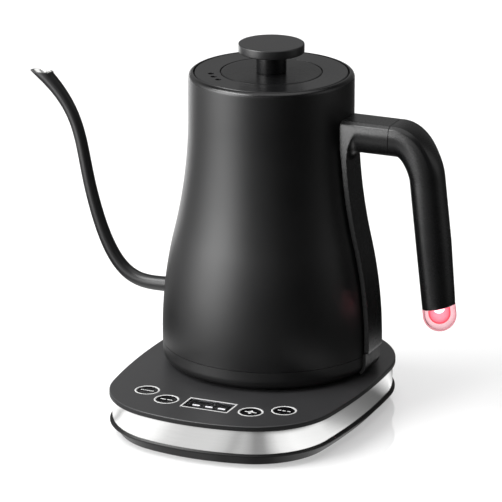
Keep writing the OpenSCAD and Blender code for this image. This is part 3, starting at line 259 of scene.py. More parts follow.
def finish(name, colour, roughness, grain=0.1, grain_size=0.5, spread=0.08, wear=0.0, metallic=0.0,
           specular=0.5, stretch=(1, 1, 1)):
    """A surface whose tone and gloss drift a little, with fine grain in relief and paler, duller edges."""
    material = bpy.data.materials.new(name)
    material.use_nodes = True
    tree = material.node_tree
    shader = tree.nodes["Principled BSDF"]
    shader.inputs["Metallic"].default_value = metallic
    shader.inputs["Specular IOR Level"].default_value = specular
    coordinates = new_node(tree, "TexCoord")
    scaled = new_node(tree, "VectorMath")
    scaled.operation = "MULTIPLY"
    scaled.inputs[1].default_value = stretch
    link(coordinates.outputs["Object"], scaled.inputs[0])
    where = scaled.outputs[0]
    drift = speckle(tree, where, scale=42, detail=4)
    fine = speckle(tree, where, scale=1000 / grain_size, detail=2)
    both = math_node(tree, "ADD", times(tree, drift, 0.6), times(tree, fine, 0.4))
    darker, paler = [c * (1 - spread) for c in colour], [c * (1 + spread) for c in colour]
    base = blend(tree, ranged(tree, both, 0.3, 0.7), darker, paler)
    gloss = ranged(tree, both, 0.3, 0.7, roughness * 0.93, roughness * 1.07)
    if wear:
        shape = new_node(tree, "NewGeometry")
        patches = ranged(tree, speckle(tree, where, scale=160, detail=5, roughness=0.7), 0.45, 0.65)
        edge = times(tree, ranged(tree, shape.outputs["Pointiness"], 0.52, 0.60), patches)
        rubbed = [min(1, c * 1.5 + 0.02) for c in colour]
        base = blend(tree, times(tree, edge, wear), base, rubbed)
        gloss = math_node(tree, "ADD", gloss, times(tree, edge, 0.08))
    link(base, shader.inputs["Base Color"])
    link(gloss, shader.inputs["Roughness"])
    if grain:
        bump = new_node(tree, "Bump")
        bump.inputs["Strength"].default_value = grain
        bump.inputs["Distance"].default_value = 0.0001
        link(fine, bump.inputs["Height"])
        link(bump.outputs[0], shader.inputs["Normal"])
    return material


def dress(material, *names):
    """Gives CAD nodes a finish, and smooth shading across their gentle bends."""
    for name in names:
        mesh = nodes[name].data
        mesh.materials.clear()
        mesh.materials.append(material)
        mesh.shade_smooth()
        mesh.set_sharp_from_angle(angle=math.radians(32))


def piece(name, parts, materials, body, stands_for, sharp=32):
    """One object from (points in mm, faces, material index); it rides a body and stands for nodes."""
    points, faces, indices = [], [], []
    for part_points, part_faces, index in parts:
        start = len(points)
        points += [(x * MM, y * MM, z * MM) for x, y, z in part_points]
        faces += [[start + i for i in face] for face in part_faces]
        indices += [index] * len(part_faces)
    mesh = bpy.data.meshes.new(name)
    mesh.from_pydata(points, [], faces)
    mesh.polygons.foreach_set("material_index", indices)
    shape = bmesh.new()
    shape.from_mesh(mesh)
    bmesh.ops.remove_doubles(shape, verts=shape.verts, dist=1e-6)
    bmesh.ops.recalc_face_normals(shape, faces=shape.faces)
    shape.to_mesh(mesh)
    shape.free()
    for material in materials:
        mesh.materials.append(material)
    mesh.shade_smooth()
    mesh.set_sharp_from_angle(angle=math.radians(sharp))
    thing = bpy.data.objects.new(name, mesh)
    scene.collection.objects.link(thing)
    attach(thing, body)
    if stands_for:
        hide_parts(*stands_for)
    return thing


def skin(rings, looped=False, capped=False, index=0):
    """Faces over a list of closed rings of points; looped joins the last ring to the first."""
    count = len(rings[0])
    points = [p for ring in rings for p in ring]
    faces = []
    for i in range(len(rings) if looped else len(rings) - 1):
        a, b = i * count, (i + 1) % len(rings) * count
        faces += [(a + j, a + (j + 1) % count, b + (j + 1) % count, b + j) for j in range(count)]
    if capped:
        faces += [tuple(range(count)), tuple(reversed(range(len(points) - count, len(points))))]
    return points, faces, index


def softened(corners, radius, steps=4):
    """A closed outline with each corner rounded; a corner (x, y, r) has its own radius."""
    out = []
    for i, corner in enumerate(corners):
        here = Vector(corner[:2])
        back = Vector(corners[i - 1][:2]) - here
        on = Vector(corners[(i + 1) % len(corners)][:2]) - here
        r = corner[2] if len(corner) > 2 else radius
        turn = math.pi - back.angle(on)
        cut = min(r * math.tan(turn / 2), 0.45 * back.length, 0.45 * on.length)
        if r <= 0 or turn < 0.05:
            out.append(tuple(here))
            continue
        start, end = here + back.normalized() * cut, here + on.normalized() * cut
        for k in range(steps + 1):
            t = k / steps
            out.append(tuple((1 - t) ** 2 * start + 2 * t * (1 - t) * here + t * t * end))
    return out


def crossing(c1, r1, c2, r2, side):
    """Where two circles meet, to the left (1) or the right (-1) of the way from c1 to c2."""
    gap = c2 - c1
    along = (r1 * r1 - r2 * r2 + gap.length_squared) / (2 * gap.length)
    u = gap.normalized()
    return c1 + along * u + side * math.sqrt(r1 * r1 - along * along) * Vector((-u.y, u.x))


def base_arcs():
    """Arcs of the base's right half, front to back: centre, radius, start, end and steps."""
    front, back = Vector((0, FRONT_BOW - BASE_FRONT)), Vector((0, BASE_BACK - BACK_BOW))
    side = Vector((BASE_HALF_W - SIDE_BOW, WIDEST_Y))
    low = crossing(front, FRONT_BOW - FRONT_CORNER, side, SIDE_BOW - FRONT_CORNER, 1)
    high = crossing(back, BACK_BOW - BACK_CORNER, side, SIDE_BOW - BACK_CORNER, -1)
    meetings = ((front, low), (side, low), (side, high), (back, high))
    turns = [math.atan2((b - a).y, (b - a).x) for a, b in meetings]
    return [(front, FRONT_BOW, -math.pi / 2, turns[0], 30), (low, FRONT_CORNER, turns[0], turns[1], 30),
            (side, SIDE_BOW, turns[1], turns[2], 30), (high, BACK_CORNER, turns[2], turns[3], 24),
            (back, BACK_BOW, turns[3], math.pi / 2, 16)]


BASE_ARCS = base_arcs()


def polar(radius, angle, at=(0, 0)):
    return (at[0] + radius * math.cos(angle), at[1] + radius * math.sin(angle))


def outline(inset):
    """The base's outline in plan, a distance inside the top plate's edge."""
    right = []
    for centre, radius, start, end, steps in BASE_ARCS:
        right += [polar(radius - inset, start + (end - start) * i / steps, centre) for i in range(steps)]
    right.append((0, BASE_BACK - inset))
    return right + [(-x, y) for x, y in reversed(right[1:-1])]


def stacked(section, shape):
    """Level rings from a section of (size, height); shape turns a size into a closed outline."""
    return [[(x, y, z) for x, y in shape(size)] for size, z in section]


dress(finish("housing_black", (0.006, 0.006, 0.0064), 0.42, grain=0.25, wear=0.3), "base_housing")
SKIRT_Z, SKIRT_IN, SHELF_Z, SHELF_IN, LIP_IN = 1.0, 6.0, 7.0, 2.3, 0.2
skirt_section = softened([(SKIRT_IN + 0.8, SKIRT_Z), (SKIRT_IN + 0.8, SHELF_Z), (SHELF_IN, SHELF_Z),
                          (SHELF_IN, BAND_Z), (LIP_IN, BAND_Z, 0.35), (LIP_IN, LIP_Z, 0.35),
                          (1.8, LIP_Z, 0.2), (SKIRT_IN, SKIRT_Z, 0.6)], 0.15)
# The skirt and lip take a darker, less glossy copy of the housing's finish: painted shade under the base
skirt_black_painted_shade = finish("skirt_black_painted_shade", (0.004, 0.004, 0.0042), 0.5, grain=0.25, wear=0.3, specular=0.25)
piece("skirt_and_lip", [skin(stacked(skirt_section, outline), looped=True)], [skirt_black_painted_shade], "power_base",
      ["base_skirt"])

dress(finish("foot_rubber", (0.016, 0.016, 0.016), 0.8, grain=0.5, grain_size=0.3, specular=0.3),
      "base_feet", "cord_grommet")

screw_steel = finish("screw_steel", (0.50, 0.50, 0.49), 0.32, grain=0.1, metallic=1.0, wear=0.3)
dress(screw_steel, "base_screws")

# --------------------------------
# Steel band. A strip of stainless steel, brushed along its length, is wrapped round the housing
# between the lip and the top plate. It is open behind, where the cord grommet passes through.

BAND_IN, BAND_T, GROMMET_GAP = 1.7, 0.6, 4.0
GROMMET_Z = (BAND_Z + PLATE_Z) / 2
SLOT_LOW, SLOT_HIGH = GROMMET_Z - GROMMET_GAP, GROMMET_Z + GROMMET_GAP


def brushed(name, colour, roughness, stretch, relief=0.2):
    """Stainless steel with fine drawn lines: long thin streaks in tone, gloss and relief."""
    return finish(name, colour, roughness, grain=relief, grain_size=0.25, spread=0.04, metallic=1.0,
                  stretch=stretch)


def in_slot(point):
    """Whether a point of the band lies in its opening behind."""
    x, y, z = point
    return abs(x) < GROMMET_GAP + 0.3 and y > 0 and abs(z - GROMMET_Z) < GROMMET_GAP + 0.01


band_steel = brushed("band_steel", (0.74, 0.74, 0.735), 0.15, (0.02, 0.02, 1.0), relief=0.06)
band_back = BAND_IN + BAND_T
section = softened([(BAND_IN, BAND_Z), (BAND_IN, PLATE_Z), (band_back, PLATE_Z), (band_back, BAND_Z)], 0.12)
corner = len(section) // 4
section = (section[:corner] + [(BAND_IN, SLOT_LOW), (BAND_IN, SLOT_HIGH)] + section[corner:3 * corner]
           + [(band_back, SLOT_HIGH), (band_back, SLOT_LOW)] + section[3 * corner:])
points, faces, index = skin(stacked(section, outline), looped=True)
faces = [face for face in faces if not all(in_slot(points[i]) for i in face)]
piece("steel_band_wrap", [(points, faces, index)], [band_steel], "power_base", ["steel_band"])

# --------------------------------
# Top plate. A satin black moulding with a softly rounded edge drops over the band and is screwed on
# from below. It has seats for the control rings and the display, and a round hole for the coupler.

plate_black = finish("plate_black", (0.029, 0.029, 0.030), 0.36, grain=0.35, grain_size=0.35, wear=0.25)
# A darker, duller copy of the plate's finish for the lower part of its rounded edge and its upright side:
# painted shade
plate_side_painted_shade = finish("plate_side_painted_shade", (0.006, 0.006, 0.0063), 0.5, grain=0.4, grain_size=0.35, wear=0.2,
                    specular=0.25)
EDGE, EDGE_STEPS, EDGE_TURN = 0.7, (0, 0.26, 0.52, 0.79, 1.05, 1.31, 1.571), 5
COUPLER_HOLE_R, CAP_HOLE_R = 17.1, 6.1
TRIM_GAP, RING_R, RING_T, FRAME_OUT, FRAME_T = 0.05, 7.5, 0.6, 2.5, 1.2
BUTTON_PLACES = [(-43.2, -81.3), (-26.5, -90.9), (26.5, -90.9), (43.2, -81.3)]
DISPLAY_Y, DISPLAY_HALF_W, DISPLAY_HALF_D = -90.4, 12.5, 5.5


def circle(radius, at=(0, 0), count=64):
    return [polar(radius, 2 * math.pi * j / count, at) for j in range(count)]


def display_outline(more, per_side=6):
    """A rectangle a distance outside the display's opening, with points along its sides."""
    w, d = DISPLAY_HALF_W + more, DISPLAY_HALF_D + more
    corners = [(w, d), (-w, d), (-w, -d), (w, -d)]
    out = []
    for (x, y), (nx, ny) in zip(corners, corners[1:] + corners[:1]):
        out += [(x + (nx - x) * k / per_side, DISPLAY_Y + y + (ny - y) * k / per_side)
                for k in range(per_side)]
    return out


def inside(point, loop):
    hits = 0
    for (ax, ay), (bx, by) in zip(loop, loop[1:] + loop[:1]):
        if (ay > point.y) != (by > point.y) and point.x < ax + (bx - ax) * (point.y - ay) / (by - ay):
            hits += 1
    return hits % 2 == 1


def flat_face(loops, z):
    """A level face inside the first loop and outside the others."""
    points = [p for loop in loops for p in loop]
    edges, start = [], 0
    for loop in loops:
        edges += [(start + i, start + (i + 1) % len(loop)) for i in range(len(loop))]
        start += len(loop)
    verts, _, faces, *_ = delaunay_2d_cdt([Vector(p) for p in points], edges, [], 1, 1e-7)

    def open_here(face):
        middle = sum((verts[i] for i in face), Vector((0, 0))) / len(face)
        return any(inside(middle, loop) for loop in loops[1:])

    return [(v.x, v.y, z) for v in verts], [tuple(f) for f in faces if not open_here(f)], 0


def wall(steps, shape):
    """The wall of a hole: steps of (size, height), and what turns a size into a loop."""
    return skin(stacked(steps, shape))


def round_hole(radius, top, bottom, at, soft, count=64):
    """The wall of a round hole with a softened rim, and the loop where it meets the plate's top."""
    rim = [(radius + 0.5, top), (radius + soft, top), (radius + soft * 0.3, top - soft * 0.3),
           (radius, top - soft), (radius, bottom)]
    return wall(rim, lambda size: circle(size, at, count)), circle(radius + 0.5, at, count)


edge_down = [(EDGE + 0.5, PLATE_TOP)]
edge_down += [polar(EDGE, math.pi / 2 + a, (EDGE, PLATE_TOP - EDGE)) for a in EDGE_STEPS]
edge_down += [(0, PLATE_Z + 0.3), (0.3, PLATE_Z), (0.9, PLATE_Z)]
edge_rings = stacked(edge_down, outline)
# The rings past the edge's turn take the painted-shade copy of the plate's finish
parts = [skin(edge_rings[:EDGE_TURN + 1]), skin(edge_rings[EDGE_TURN:], index=1)]
top_loops, low_loops = [outline(EDGE + 0.5)], [outline(0.9)]
hole, loop = round_hole(COUPLER_HOLE_R, PLATE_TOP, PLATE_Z, (0, 0), 0.3, 96)
parts.append(hole)
top_loops.append(loop)
low_loops.append(circle(COUPLER_HOLE_R, (0, 0), 96))
seat_r, seat_z = RING_R + TRIM_GAP, PLATE_TOP - RING_T - TRIM_GAP
for at in BUTTON_PLACES:
    ledge, loop = round_hole(seat_r, PLATE_TOP, seat_z, at, 0.08)
    through = wall([(seat_r, seat_z), (CAP_HOLE_R, seat_z), (CAP_HOLE_R, PLATE_Z)], lambda s: circle(s, at))
    parts += [ledge, through]
    top_loops.append(loop)
    low_loops.append(circle(CAP_HOLE_R, at))
seat, seat_z = FRAME_OUT + TRIM_GAP, PLATE_TOP - FRAME_T - TRIM_GAP
display_seat = [(seat + 0.3, PLATE_TOP), (seat, PLATE_TOP), (seat, seat_z), (0, seat_z), (0, PLATE_Z)]
parts.append(wall(display_seat, display_outline))
top_loops.append(display_outline(seat + 0.3))
low_loops.append(display_outline(0))
parts += [flat_face(top_loops, PLATE_TOP), flat_face(low_loops, PLATE_Z)]
piece("plate_with_seats", parts, [plate_black, plate_side_painted_shade], "power_base", ["top_plate"])

# --------------------------------
# Coupler on the base. A fixed black tower holds the outer contact ring and a centre post with the
# earth pin; a plain collar runs free on the post and turns with the kettle.

dress(finish("coupler_black", (0.012, 0.012, 0.0126), 0.5, grain=0.3, wear=0.3),
      "coupler_tower", "coupler_socket")
dress(finish("contact_brass", (0.72, 0.52, 0.21), 0.28, grain=0.1, spread=0.12, metallic=1.0, wear=0.4),
      "contact_pin", "contact_ring")
dress(finish("collar_grey", (0.035, 0.035, 0.037), 0.5, grain=0.3), "coupler_collar")

# --------------------------------
# Controls. A circuit board under the plate carries four key switches and the display. The gloss
# black caps drop through the plate, each inside a white moulded ring, and carry raised pale marks.

dress(finish("board_green", (0.015, 0.11, 0.045), 0.42, grain=0.2, spread=0.2), "control_board", "lamp_board")
dress(screw_steel, "key_switches")
dress(finish("module_black", (0.004, 0.004, 0.0042), 0.5, grain=0.2), "display_module")
button_gloss = finish("button_gloss", (0.0030, 0.0030, 0.0032), 0.14, grain=0.03, grain_size=2, specular=0.2)
mark_pale = finish("mark_pale", (0.85, 0.85, 0.85), 0.5, grain=0.1)
trim_white = finish("trim_white", (0.58, 0.58, 0.575), 0.42, grain=0.12, spread=0.03)

CAP_TOP, CAP_R, DISH = PLATE_TOP + 0.1, 5.9, 0.34
PLUNGER_R, PLUNGER_Z, KEEPER_R, KEEPER_Z, KEEPER_T = 1.8, 18.1, 6.9, 21.8, 1.0


def lathe(profile, sides, looped=True, at=(0, 0)):
    """A profile of (radius, height) turned about an upright axis."""
    return skin(stacked(profile, lambda r: circle(r, at, sides)), looped)


# The edge's last corner only steers the one before it, so its own arc is left off
cap_edge = softened([(CAP_R, CAP_TOP - 1.5, 0), (CAP_R, CAP_TOP, 0.45), (CAP_R - 0.6, CAP_TOP - 0.02, 0.4),
                     (CAP_R - 1.2, CAP_TOP - 0.3, 0.5)], 0.3)[:-5]
cap_profile = [(0, PLUNGER_Z), (PLUNGER_R, PLUNGER_Z), (PLUNGER_R, KEEPER_Z), (KEEPER_R, KEEPER_Z),
               (KEEPER_R, KEEPER_Z + KEEPER_T), (CAP_R, KEEPER_Z + KEEPER_T)]
cap_profile += cap_edge + [(4.2, CAP_TOP - DISH + 0.01), (2.4, CAP_TOP - DISH), (0, CAP_TOP - DISH)]


def raised(shapes, at, low, high):
    """Small flat-topped solids; each shape is a closed list of (x, y) round a centre."""
    return [skin([[(at[0] + x, at[1] + y, z) for x, y in shape] for z in (low, high)], capped=True)
            for shape in shapes]


def bar(x, y, half_w, half_h):
    return [(x + i * half_w, y + j * half_h) for i, j in ((-1, -1), (1, -1), (1, 1), (-1, 1))]


MARK_Z, MARK_SUNK, MARK_UP = CAP_TOP - 0.33, 0.02, 0.015
up_down = [[(-1.2, 1.0), (1.2, 1.0), (0, 2.8)], [(-1.2, -1.0), (0, -2.8), (1.2, -1.0)]]
dots = [bar(x, 0, 0.42, 0.42) for x in (-3.6, -2.4, -1.2, 0, 1.2, 2.4, 3.6)]
MARKS = [dots, [bar(-2.1, 0, 1.6, 0.4), bar(2.1, 0, 1.6, 0.4)], up_down + [bar(0, 0, 3.6, 0.34)],
         [bar(-2.9, 0, 1.0, 0.4), bar(0, 0, 1.0, 0.4), bar(2.9, 0, 1.0, 0.4)]]
SIDES = [("left", "outer"), ("left", "inner"), ("right", "inner"), ("right", "outer")]
for at, (side, row), marks in zip(BUTTON_PLACES, SIDES, MARKS):
    name, body = f"{side}_{row}", f"{row}_{side}_button"
    piece("cap_" + name, [lathe(cap_profile, 64, looped=False, at=at)], [button_gloss], body,
          ["button_" + name])
    piece("mark_" + name, raised(marks, at, MARK_Z - MARK_SUNK, MARK_Z + MARK_UP), [mark_pale], body, [])

RING_IN, RING_BEVEL, FRAME_W = 6.3, 0.25, 1.0
ring_low, ring_side = PLATE_TOP - RING_T, PLATE_TOP - RING_BEVEL
ring_profile = softened([(RING_IN, ring_low), (RING_R, ring_low), (RING_R, ring_side, 0.1),
                         (RING_R - RING_BEVEL, PLATE_TOP, 0.15), (RING_IN + RING_BEVEL, PLATE_TOP, 0.15),
                         (RING_IN, ring_side, 0.1)], 0.05)
piece("white_rings", [lathe(ring_profile, 72, at=at) for at in BUTTON_PLACES], [trim_white], "power_base",
      ["button_trims"])

frame_low = PLATE_TOP - FRAME_T
frame_section = softened([(0, frame_low), (0, PLATE_TOP, 0.15), (FRAME_W, PLATE_TOP, 0.15),
                          (FRAME_W, frame_low)], 0.03)
frame_rings = stacked(frame_section, lambda inset: display_outline(FRAME_OUT - inset))
piece("display_surround", [skin(frame_rings, looped=True)], [trim_white], "power_base", ["display_frame"])


def z_range(name):
    """The lowest and the highest point of a CAD node."""
    heights = [corner.co.z for corner in nodes[name].data.vertices]
    return min(heights), max(heights)


def glowing(material, colour, strength):
    """Makes a finish give off light of its own."""
    shader = material.node_tree.nodes["Principled BSDF"]
    shader.inputs["Emission Color"].default_value = (*colour, 1)
    shader.inputs["Emission Strength"].default_value = strength


def see_through(material, bend):
    """Makes a finish clear; bend is its index of refraction."""
    shader = material.node_tree.nodes["Principled BSDF"]
    shader.inputs["Transmission Weight"].default_value = 1.0
    shader.inputs["IOR"].default_value = bend


lit_white = finish("lit_white", (0.9, 0.9, 0.9), 0.5, grain=0.05)
glowing(lit_white, (1, 1, 1), 1.3)
DASH_HALF_W, DASH_HALF_D, DASH_STEP, DASH_T = 2.15, 0.6, 8, 0.3
dash_top = z_range("display_dashes")[1] / MM
dash_loop = softened(bar(0, 0, DASH_HALF_W, DASH_HALF_D), 0.2)
dashes = [[(x + k * DASH_STEP, y) for x, y in dash_loop] for k in (-1, 0, 1)]
piece("lit_dashes", raised(dashes, (0, DISPLAY_Y), dash_top - DASH_T, dash_top), [lit_white], "power_base",
      ["display_dashes"])

window_smoke = finish("window_smoke", (0.62, 0.62, 0.64), 0.06, grain=0.0)
see_through(window_smoke, 1.08)
dress(window_smoke, "display_window")

# --------------------------------
# Kettle's underside. A moulded ring with a rounded lower edge closes the body; a flat pad on it
# meets the foot of the handle strip. A screwed cover and the kettle's half of the coupler fill it.

dress(finish("ring_black", (0.0040, 0.0040, 0.0042), 0.40, grain=0.3, grain_size=0.4, wear=0.2),
      "bottom_ring", "bottom_cover")
dress(screw_steel, "cover_screws")

# --------------------------------
# Heated floor. A stainless disc is brazed into the body; under it are an aluminium plate that
# spreads the heat, a sheathed element, a probe in its silicone seal and a dry-boil thermostat.

dress(finish("vessel_steel", (0.64, 0.64, 0.625), 0.27, grain=0.15, spread=0.06, metallic=1.0),
      "vessel_floor", "lid_seat", "temperature_probe", "handle_bracket")
dress(finish("spreader_aluminium", (0.72, 0.72, 0.73), 0.42, grain=0.3, metallic=1.0), "heat_plate")
dress(finish("element_sheath", (0.30, 0.285, 0.27), 0.5, grain=0.3, spread=0.2, metallic=1.0),
      "heating_element")
dress(finish("silicone_grey", (0.42, 0.42, 0.43), 0.62, grain=0.2, specular=0.4), "probe_seal", "lid_seal")
dress(finish("thermostat_black", (0.015, 0.015, 0.015), 0.6, grain=0.3), "dry_boil_thermostat")

# --------------------------------
# Body. One drawn stainless shell with a hollow shoulder, a bulging lower half and a rolled rim. Its
# fine matt black powder coat is a thin skin of its own, glossier over the rim.

TOP_R, LOW_R, SHOULDER_Z, HIP_Z, HOLLOW = 48.5, 64.1, 176.2, 45.3, 0.54
COAT, RIM_ROUND, RIM_FROM, RIM_FULL, RIM_GLOSS = 0.05, 2.9, 3.0, 1.6, 0.42
shell_foot, rim_z = z_range("body_shell")
body_black = finish("body_black", (0.0027, 0.0027, 0.0029), 0.34, grain=0.50, grain_size=0.30, spread=0.10,
                    wear=0.15)
tree = body_black.node_tree
place = new_node(tree, "SeparateXYZ")
link(tree.nodes["Texture Coordinate"].outputs["Object"], place.inputs[0])
rim_share = ranged(tree, place.outputs[2], rim_z - RIM_FROM * MM, rim_z - RIM_FULL * MM, 1.0, RIM_GLOSS)
gloss = tree.nodes["Principled BSDF"].inputs["Roughness"]
link(times(tree, gloss.links[0].from_socket, rim_share), gloss)
dress(body_black, "body_shell")

swell_h = SHOULDER_Z - HIP_Z
swell_lean = 2 * math.atan((LOW_R - TOP_R) / swell_h)
HOLLOW_R = HOLLOW * swell_h / math.sin(swell_lean)
BULGE_R = swell_h / math.sin(swell_lean) - HOLLOW_R
BEND_Z = SHOULDER_Z - HOLLOW_R * math.sin(swell_lean)


def body_r(z):
    """Outer radius of the body at height z."""
    if z >= SHOULDER_Z:
        return TOP_R
    if z >= BEND_Z:
        return TOP_R + HOLLOW_R - math.sqrt(HOLLOW_R ** 2 - (SHOULDER_Z - z) ** 2)
    if z >= HIP_Z:
        return LOW_R - BULGE_R + math.sqrt(BULGE_R ** 2 - (z - HIP_Z) ** 2)
    return LOW_R


def quarter(steps):
    """Angles over a quarter turn."""
    return [k / steps * math.pi / 2 for k in range(steps + 1)]


shell_low, shell_top = shell_foot / MM, rim_z / MM - RIM_ROUND


def coat_line(gap, steps):
    """The shell's outer line from its foot to the top of the rolled rim, a gap outside the steel."""
    heights = [shell_low + (shell_top - shell_low) * i / steps for i in range(steps)]
    return [(body_r(z) + gap, z) for z in heights] + [
        polar(RIM_ROUND + gap, a, (TOP_R - RIM_ROUND, shell_top)) for a in quarter(16)]


coat_profile = coat_line(COAT, 130) + coat_line(-2 * COAT, 40)[::-1]
piece("powder_coat", [lathe(coat_profile, 176)], [body_black], "kettle", [], sharp=40)

# --------------------------------
# Spout. A drawn steel tube leaves the body's foot, sweeps up in two bends, narrows to its neck and
# flares to a mouth that is cut level. It is coated outside and left bright inside.

SPOUT_WALL, ROOT_D, NECK_D, MOUTH_D, NECK_AT = 0.8, 9.2, 7.3, 9.4, 0.735
ROOT_Z, ROOT_SUNK, WAIST_LEAN, TIP_LEAN = 62.8, 2.8, 14.9, 49.9
ROOT_PULL, LOW_PULL, HIGH_PULL, TIP_PULL = 23, 59.5, 33.8, 36.9
MOUTH_LIP = [(0, 0.5), (0.06, 0.2), (0.2, 0.04), (0.36, 0.0), (0.5, 0.02), (0.7, 0.16), (SPOUT_WALL, 0.5)]
spout_black = finish("spout_black", (0.0055, 0.0055, 0.0058), 0.30, grain=0.4, grain_size=0.30, spread=0.10,
                     wear=0.2)
spout_bright = brushed("spout_bright", (0.78, 0.78, 0.77), 0.2, (1, 1, 0.2))


def lean_dir(degrees):
    return Vector((-math.sin(math.radians(degrees)), math.cos(math.radians(degrees))))


ROOT = Vector((-(body_r(ROOT_Z) - ROOT_SUNK), ROOT_Z))
WAIST, TIP = Vector((-116.2, 111.8)), Vector((-149.1, 185.8))
LOWER = [ROOT, ROOT + Vector((-ROOT_PULL, 0)), WAIST - LOW_PULL * lean_dir(WAIST_LEAN), WAIST]
UPPER = [WAIST, WAIST + HIGH_PULL * lean_dir(WAIST_LEAN), TIP - TIP_PULL * lean_dir(TIP_LEAN), TIP]
TIP_BACK = MOUTH_D / 2 * math.tan(math.radians(TIP_LEAN)) + 0.6


def cubic(c, t):
    s = 1 - t
    return s ** 3 * c[0] + 3 * s ** 2 * t * c[1] + 3 * s * t * t * c[2] + t ** 3 * c[3]


def cubic_dir(c, t):
    s = 1 - t
    return (s ** 2 * (c[1] - c[0]) + 2 * s * t * (c[2] - c[1]) + t * t * (c[3] - c[2])).normalized()


def stations_on(curve, shares):
    """Places on a cubic curve, each with its direction."""
    return [(cubic(curve, t), cubic_dir(curve, t)) for t in shares]


upper_end = 1 - TIP_BACK / (3 * TIP_PULL)
stations = stations_on(LOWER, [i / 60 for i in range(60)])
stations += stations_on(UPPER, [upper_end * i / 48 for i in range(49)])
lengths = [0.0]
for (a, _), (b, _) in zip(stations, stations[1:]):
    lengths.append(lengths[-1] + (b - a).length)
whole = lengths[-1] + TIP_BACK


def spout_r(length):
    """Outer radius of the tube, a length up from its root: it narrows to the neck, then flares."""
    share = length / whole
    if share < NECK_AT:
        return (NECK_D + (ROOT_D - NECK_D) * ((NECK_AT - share) / NECK_AT) ** 2) / 2
    return (NECK_D + (MOUTH_D - NECK_D) * ((share - NECK_AT) / (1 - NECK_AT)) ** 2) / 2


def set_across(centre, way, section):
    """A section of (up, side) points, set square across a way in the kettle's middle plane."""
    return [(centre.x - way.y * u, v, centre.y + way.x * u) for u, v in section]


def tube_ring(centre, way, r, sides=64):
    turns = [2 * math.pi * j / sides for j in range(sides)]
    return set_across(centre, way, [(r * math.sin(a), r * math.cos(a)) for a in turns])


def level_ring(less, drop):
    """The mouth's ring, slid along the tube until it lies level, a little below the mouth's plane."""
    way, out = lean_dir(TIP_LEAN), []
    for x, y, z in tube_ring(TIP, way, MOUTH_D / 2 - less):
        slide = (TIP.y - drop - z) / way.y
        out.append((x + way.x * slide, y, TIP.y - drop))
    return out


outer = [tube_ring(centre, way, spout_r(s)) for (centre, way), s in zip(stations, lengths)]
inner = [tube_ring(centre, way, spout_r(s) - SPOUT_WALL) for (centre, way), s in zip(stations, lengths)]
lip = [level_ring(less, drop) for less, drop in MOUTH_LIP]
piece("swept_spout", [skin(outer + lip[:4]), skin(lip[3:] + inner[::-1], index=1),
                      skin([inner[0], outer[0]])],
      [spout_black, spout_bright], "kettle", ["spout_tube"], sharp=60)

# --------------------------------
# Handle strip. A flat-sided black bar hides the wiring. It follows the body from the ring's pad up
# to the arm and stands a little off the body, so a thin dark line runs down beside it.

STRIP_HALF, STRIP_T, STRIP_GAP, RELIEF, RELIEF_W = 10.6, 2.6, 0.2, 0.4, 0.8
STRIP_TOP, STRIP_LOW, STRIP_EDGE = 157.35, 40.4, 0.25
handle_black = finish("handle_black", (0.0035, 0.0035, 0.0037), 0.27, grain=0.30, grain_size=0.30,
                      spread=0.08, wear=0.25, specular=0.55)


def bar_ring(z, less=0.0):
    """A level section of the bar: flat outer face, soft corners, flat sides and the side on the body."""
    half, face, soft = STRIP_HALF - less, body_r(z) + STRIP_T - less, STRIP_EDGE
    step = half - RELIEF_W
    ring = [(face, y) for y in (-half + 2 * soft, 0, half - 2 * soft)]
    ring += [polar(soft, a, (face - soft, half - soft)) for a in quarter(4)]
    for y in (half, step, step - 0.01, half / 2, 0, -half / 2, 0.01 - step, -step, -half):
        gap = STRIP_GAP + (RELIEF if abs(y) > step - 0.005 else 0)
        ring.append((math.sqrt((body_r(z) + gap) ** 2 - y * y), y))
    ring += [polar(soft, -a, (face - soft, soft - half)) for a in reversed(quarter(4))]
    return [(x, y, z) for x, y in ring]


strip_rings = [bar_ring(STRIP_LOW, 0.2), bar_ring(STRIP_LOW + 0.15, 0.04)] + [
    bar_ring(STRIP_LOW + 0.4 + (STRIP_TOP - 0.4 - STRIP_LOW) * i / 72) for i in range(73)]
strip = piece("strip_bar", [skin(strip_rings, capped=True)], [handle_black], "kettle", ["handle_strip"])
lit_by_card.objects.link(strip)

# --------------------------------
# Handle arm. A black moulding screwed to a steel bracket on the body, flush with the strip's sides.
# Its top is flat with bevelled edges, its underside round, with a flange and a fillet at the strip.

ARM_Z, ARM_UP, ARM_DOWN, FILLET, FLANGE = 171.3, 8.9, 11.4, 5.2, 0.4
BEVEL_W, BEVEL_H, ROUND_FROM = 2.25, 1.85, 4.0
JOINT_X, JOINT_GAP, JOINT_LEAN, JOINT_EDGE = 76.95, 0.15, 5.0, 0.15
# Angles in degrees above the side, at which a section's outline is found; they crowd at its bevels
STEEP = [0, 6, 12, 17, 22, 26, 29, 31, 32.4, 33.6, 35, 37, 40,
         43, 45, 46.3, 47.4, 49, 52, 57, 63, 70, 77, 84, 90]
CORNER = -math.degrees(math.atan2(ARM_Z - STRIP_TOP, STRIP_HALF))
BELOW = [CORNER * k / 17 for k in range(1, 18)] + [CORNER + (-90 - CORNER) * k / 13 for k in range(1, 14)]
RIGHT = STEEP[::-1] + BELOW
ANGLES = [math.radians(a) for a in RIGHT + [180 - a for a in RIGHT[-2:0:-1]]]


def reach(loop, angle):
    """Distance from the middle of a closed (side, up) outline to its edge, at an angle above the side."""
    c, s = math.cos(angle), math.sin(angle)
    far = 0
    for (ax, ay), (bx, by) in zip(loop, loop[1:] + loop[:1]):
        a, b = ay * c - ax * s, by * c - bx * s
        if a * b <= 0 and a != b:
            t = a / (a - b)
            far = max(far, (ax + (bx - ax) * t) * c + (ay + (by - ay) * t) * s)
    return far


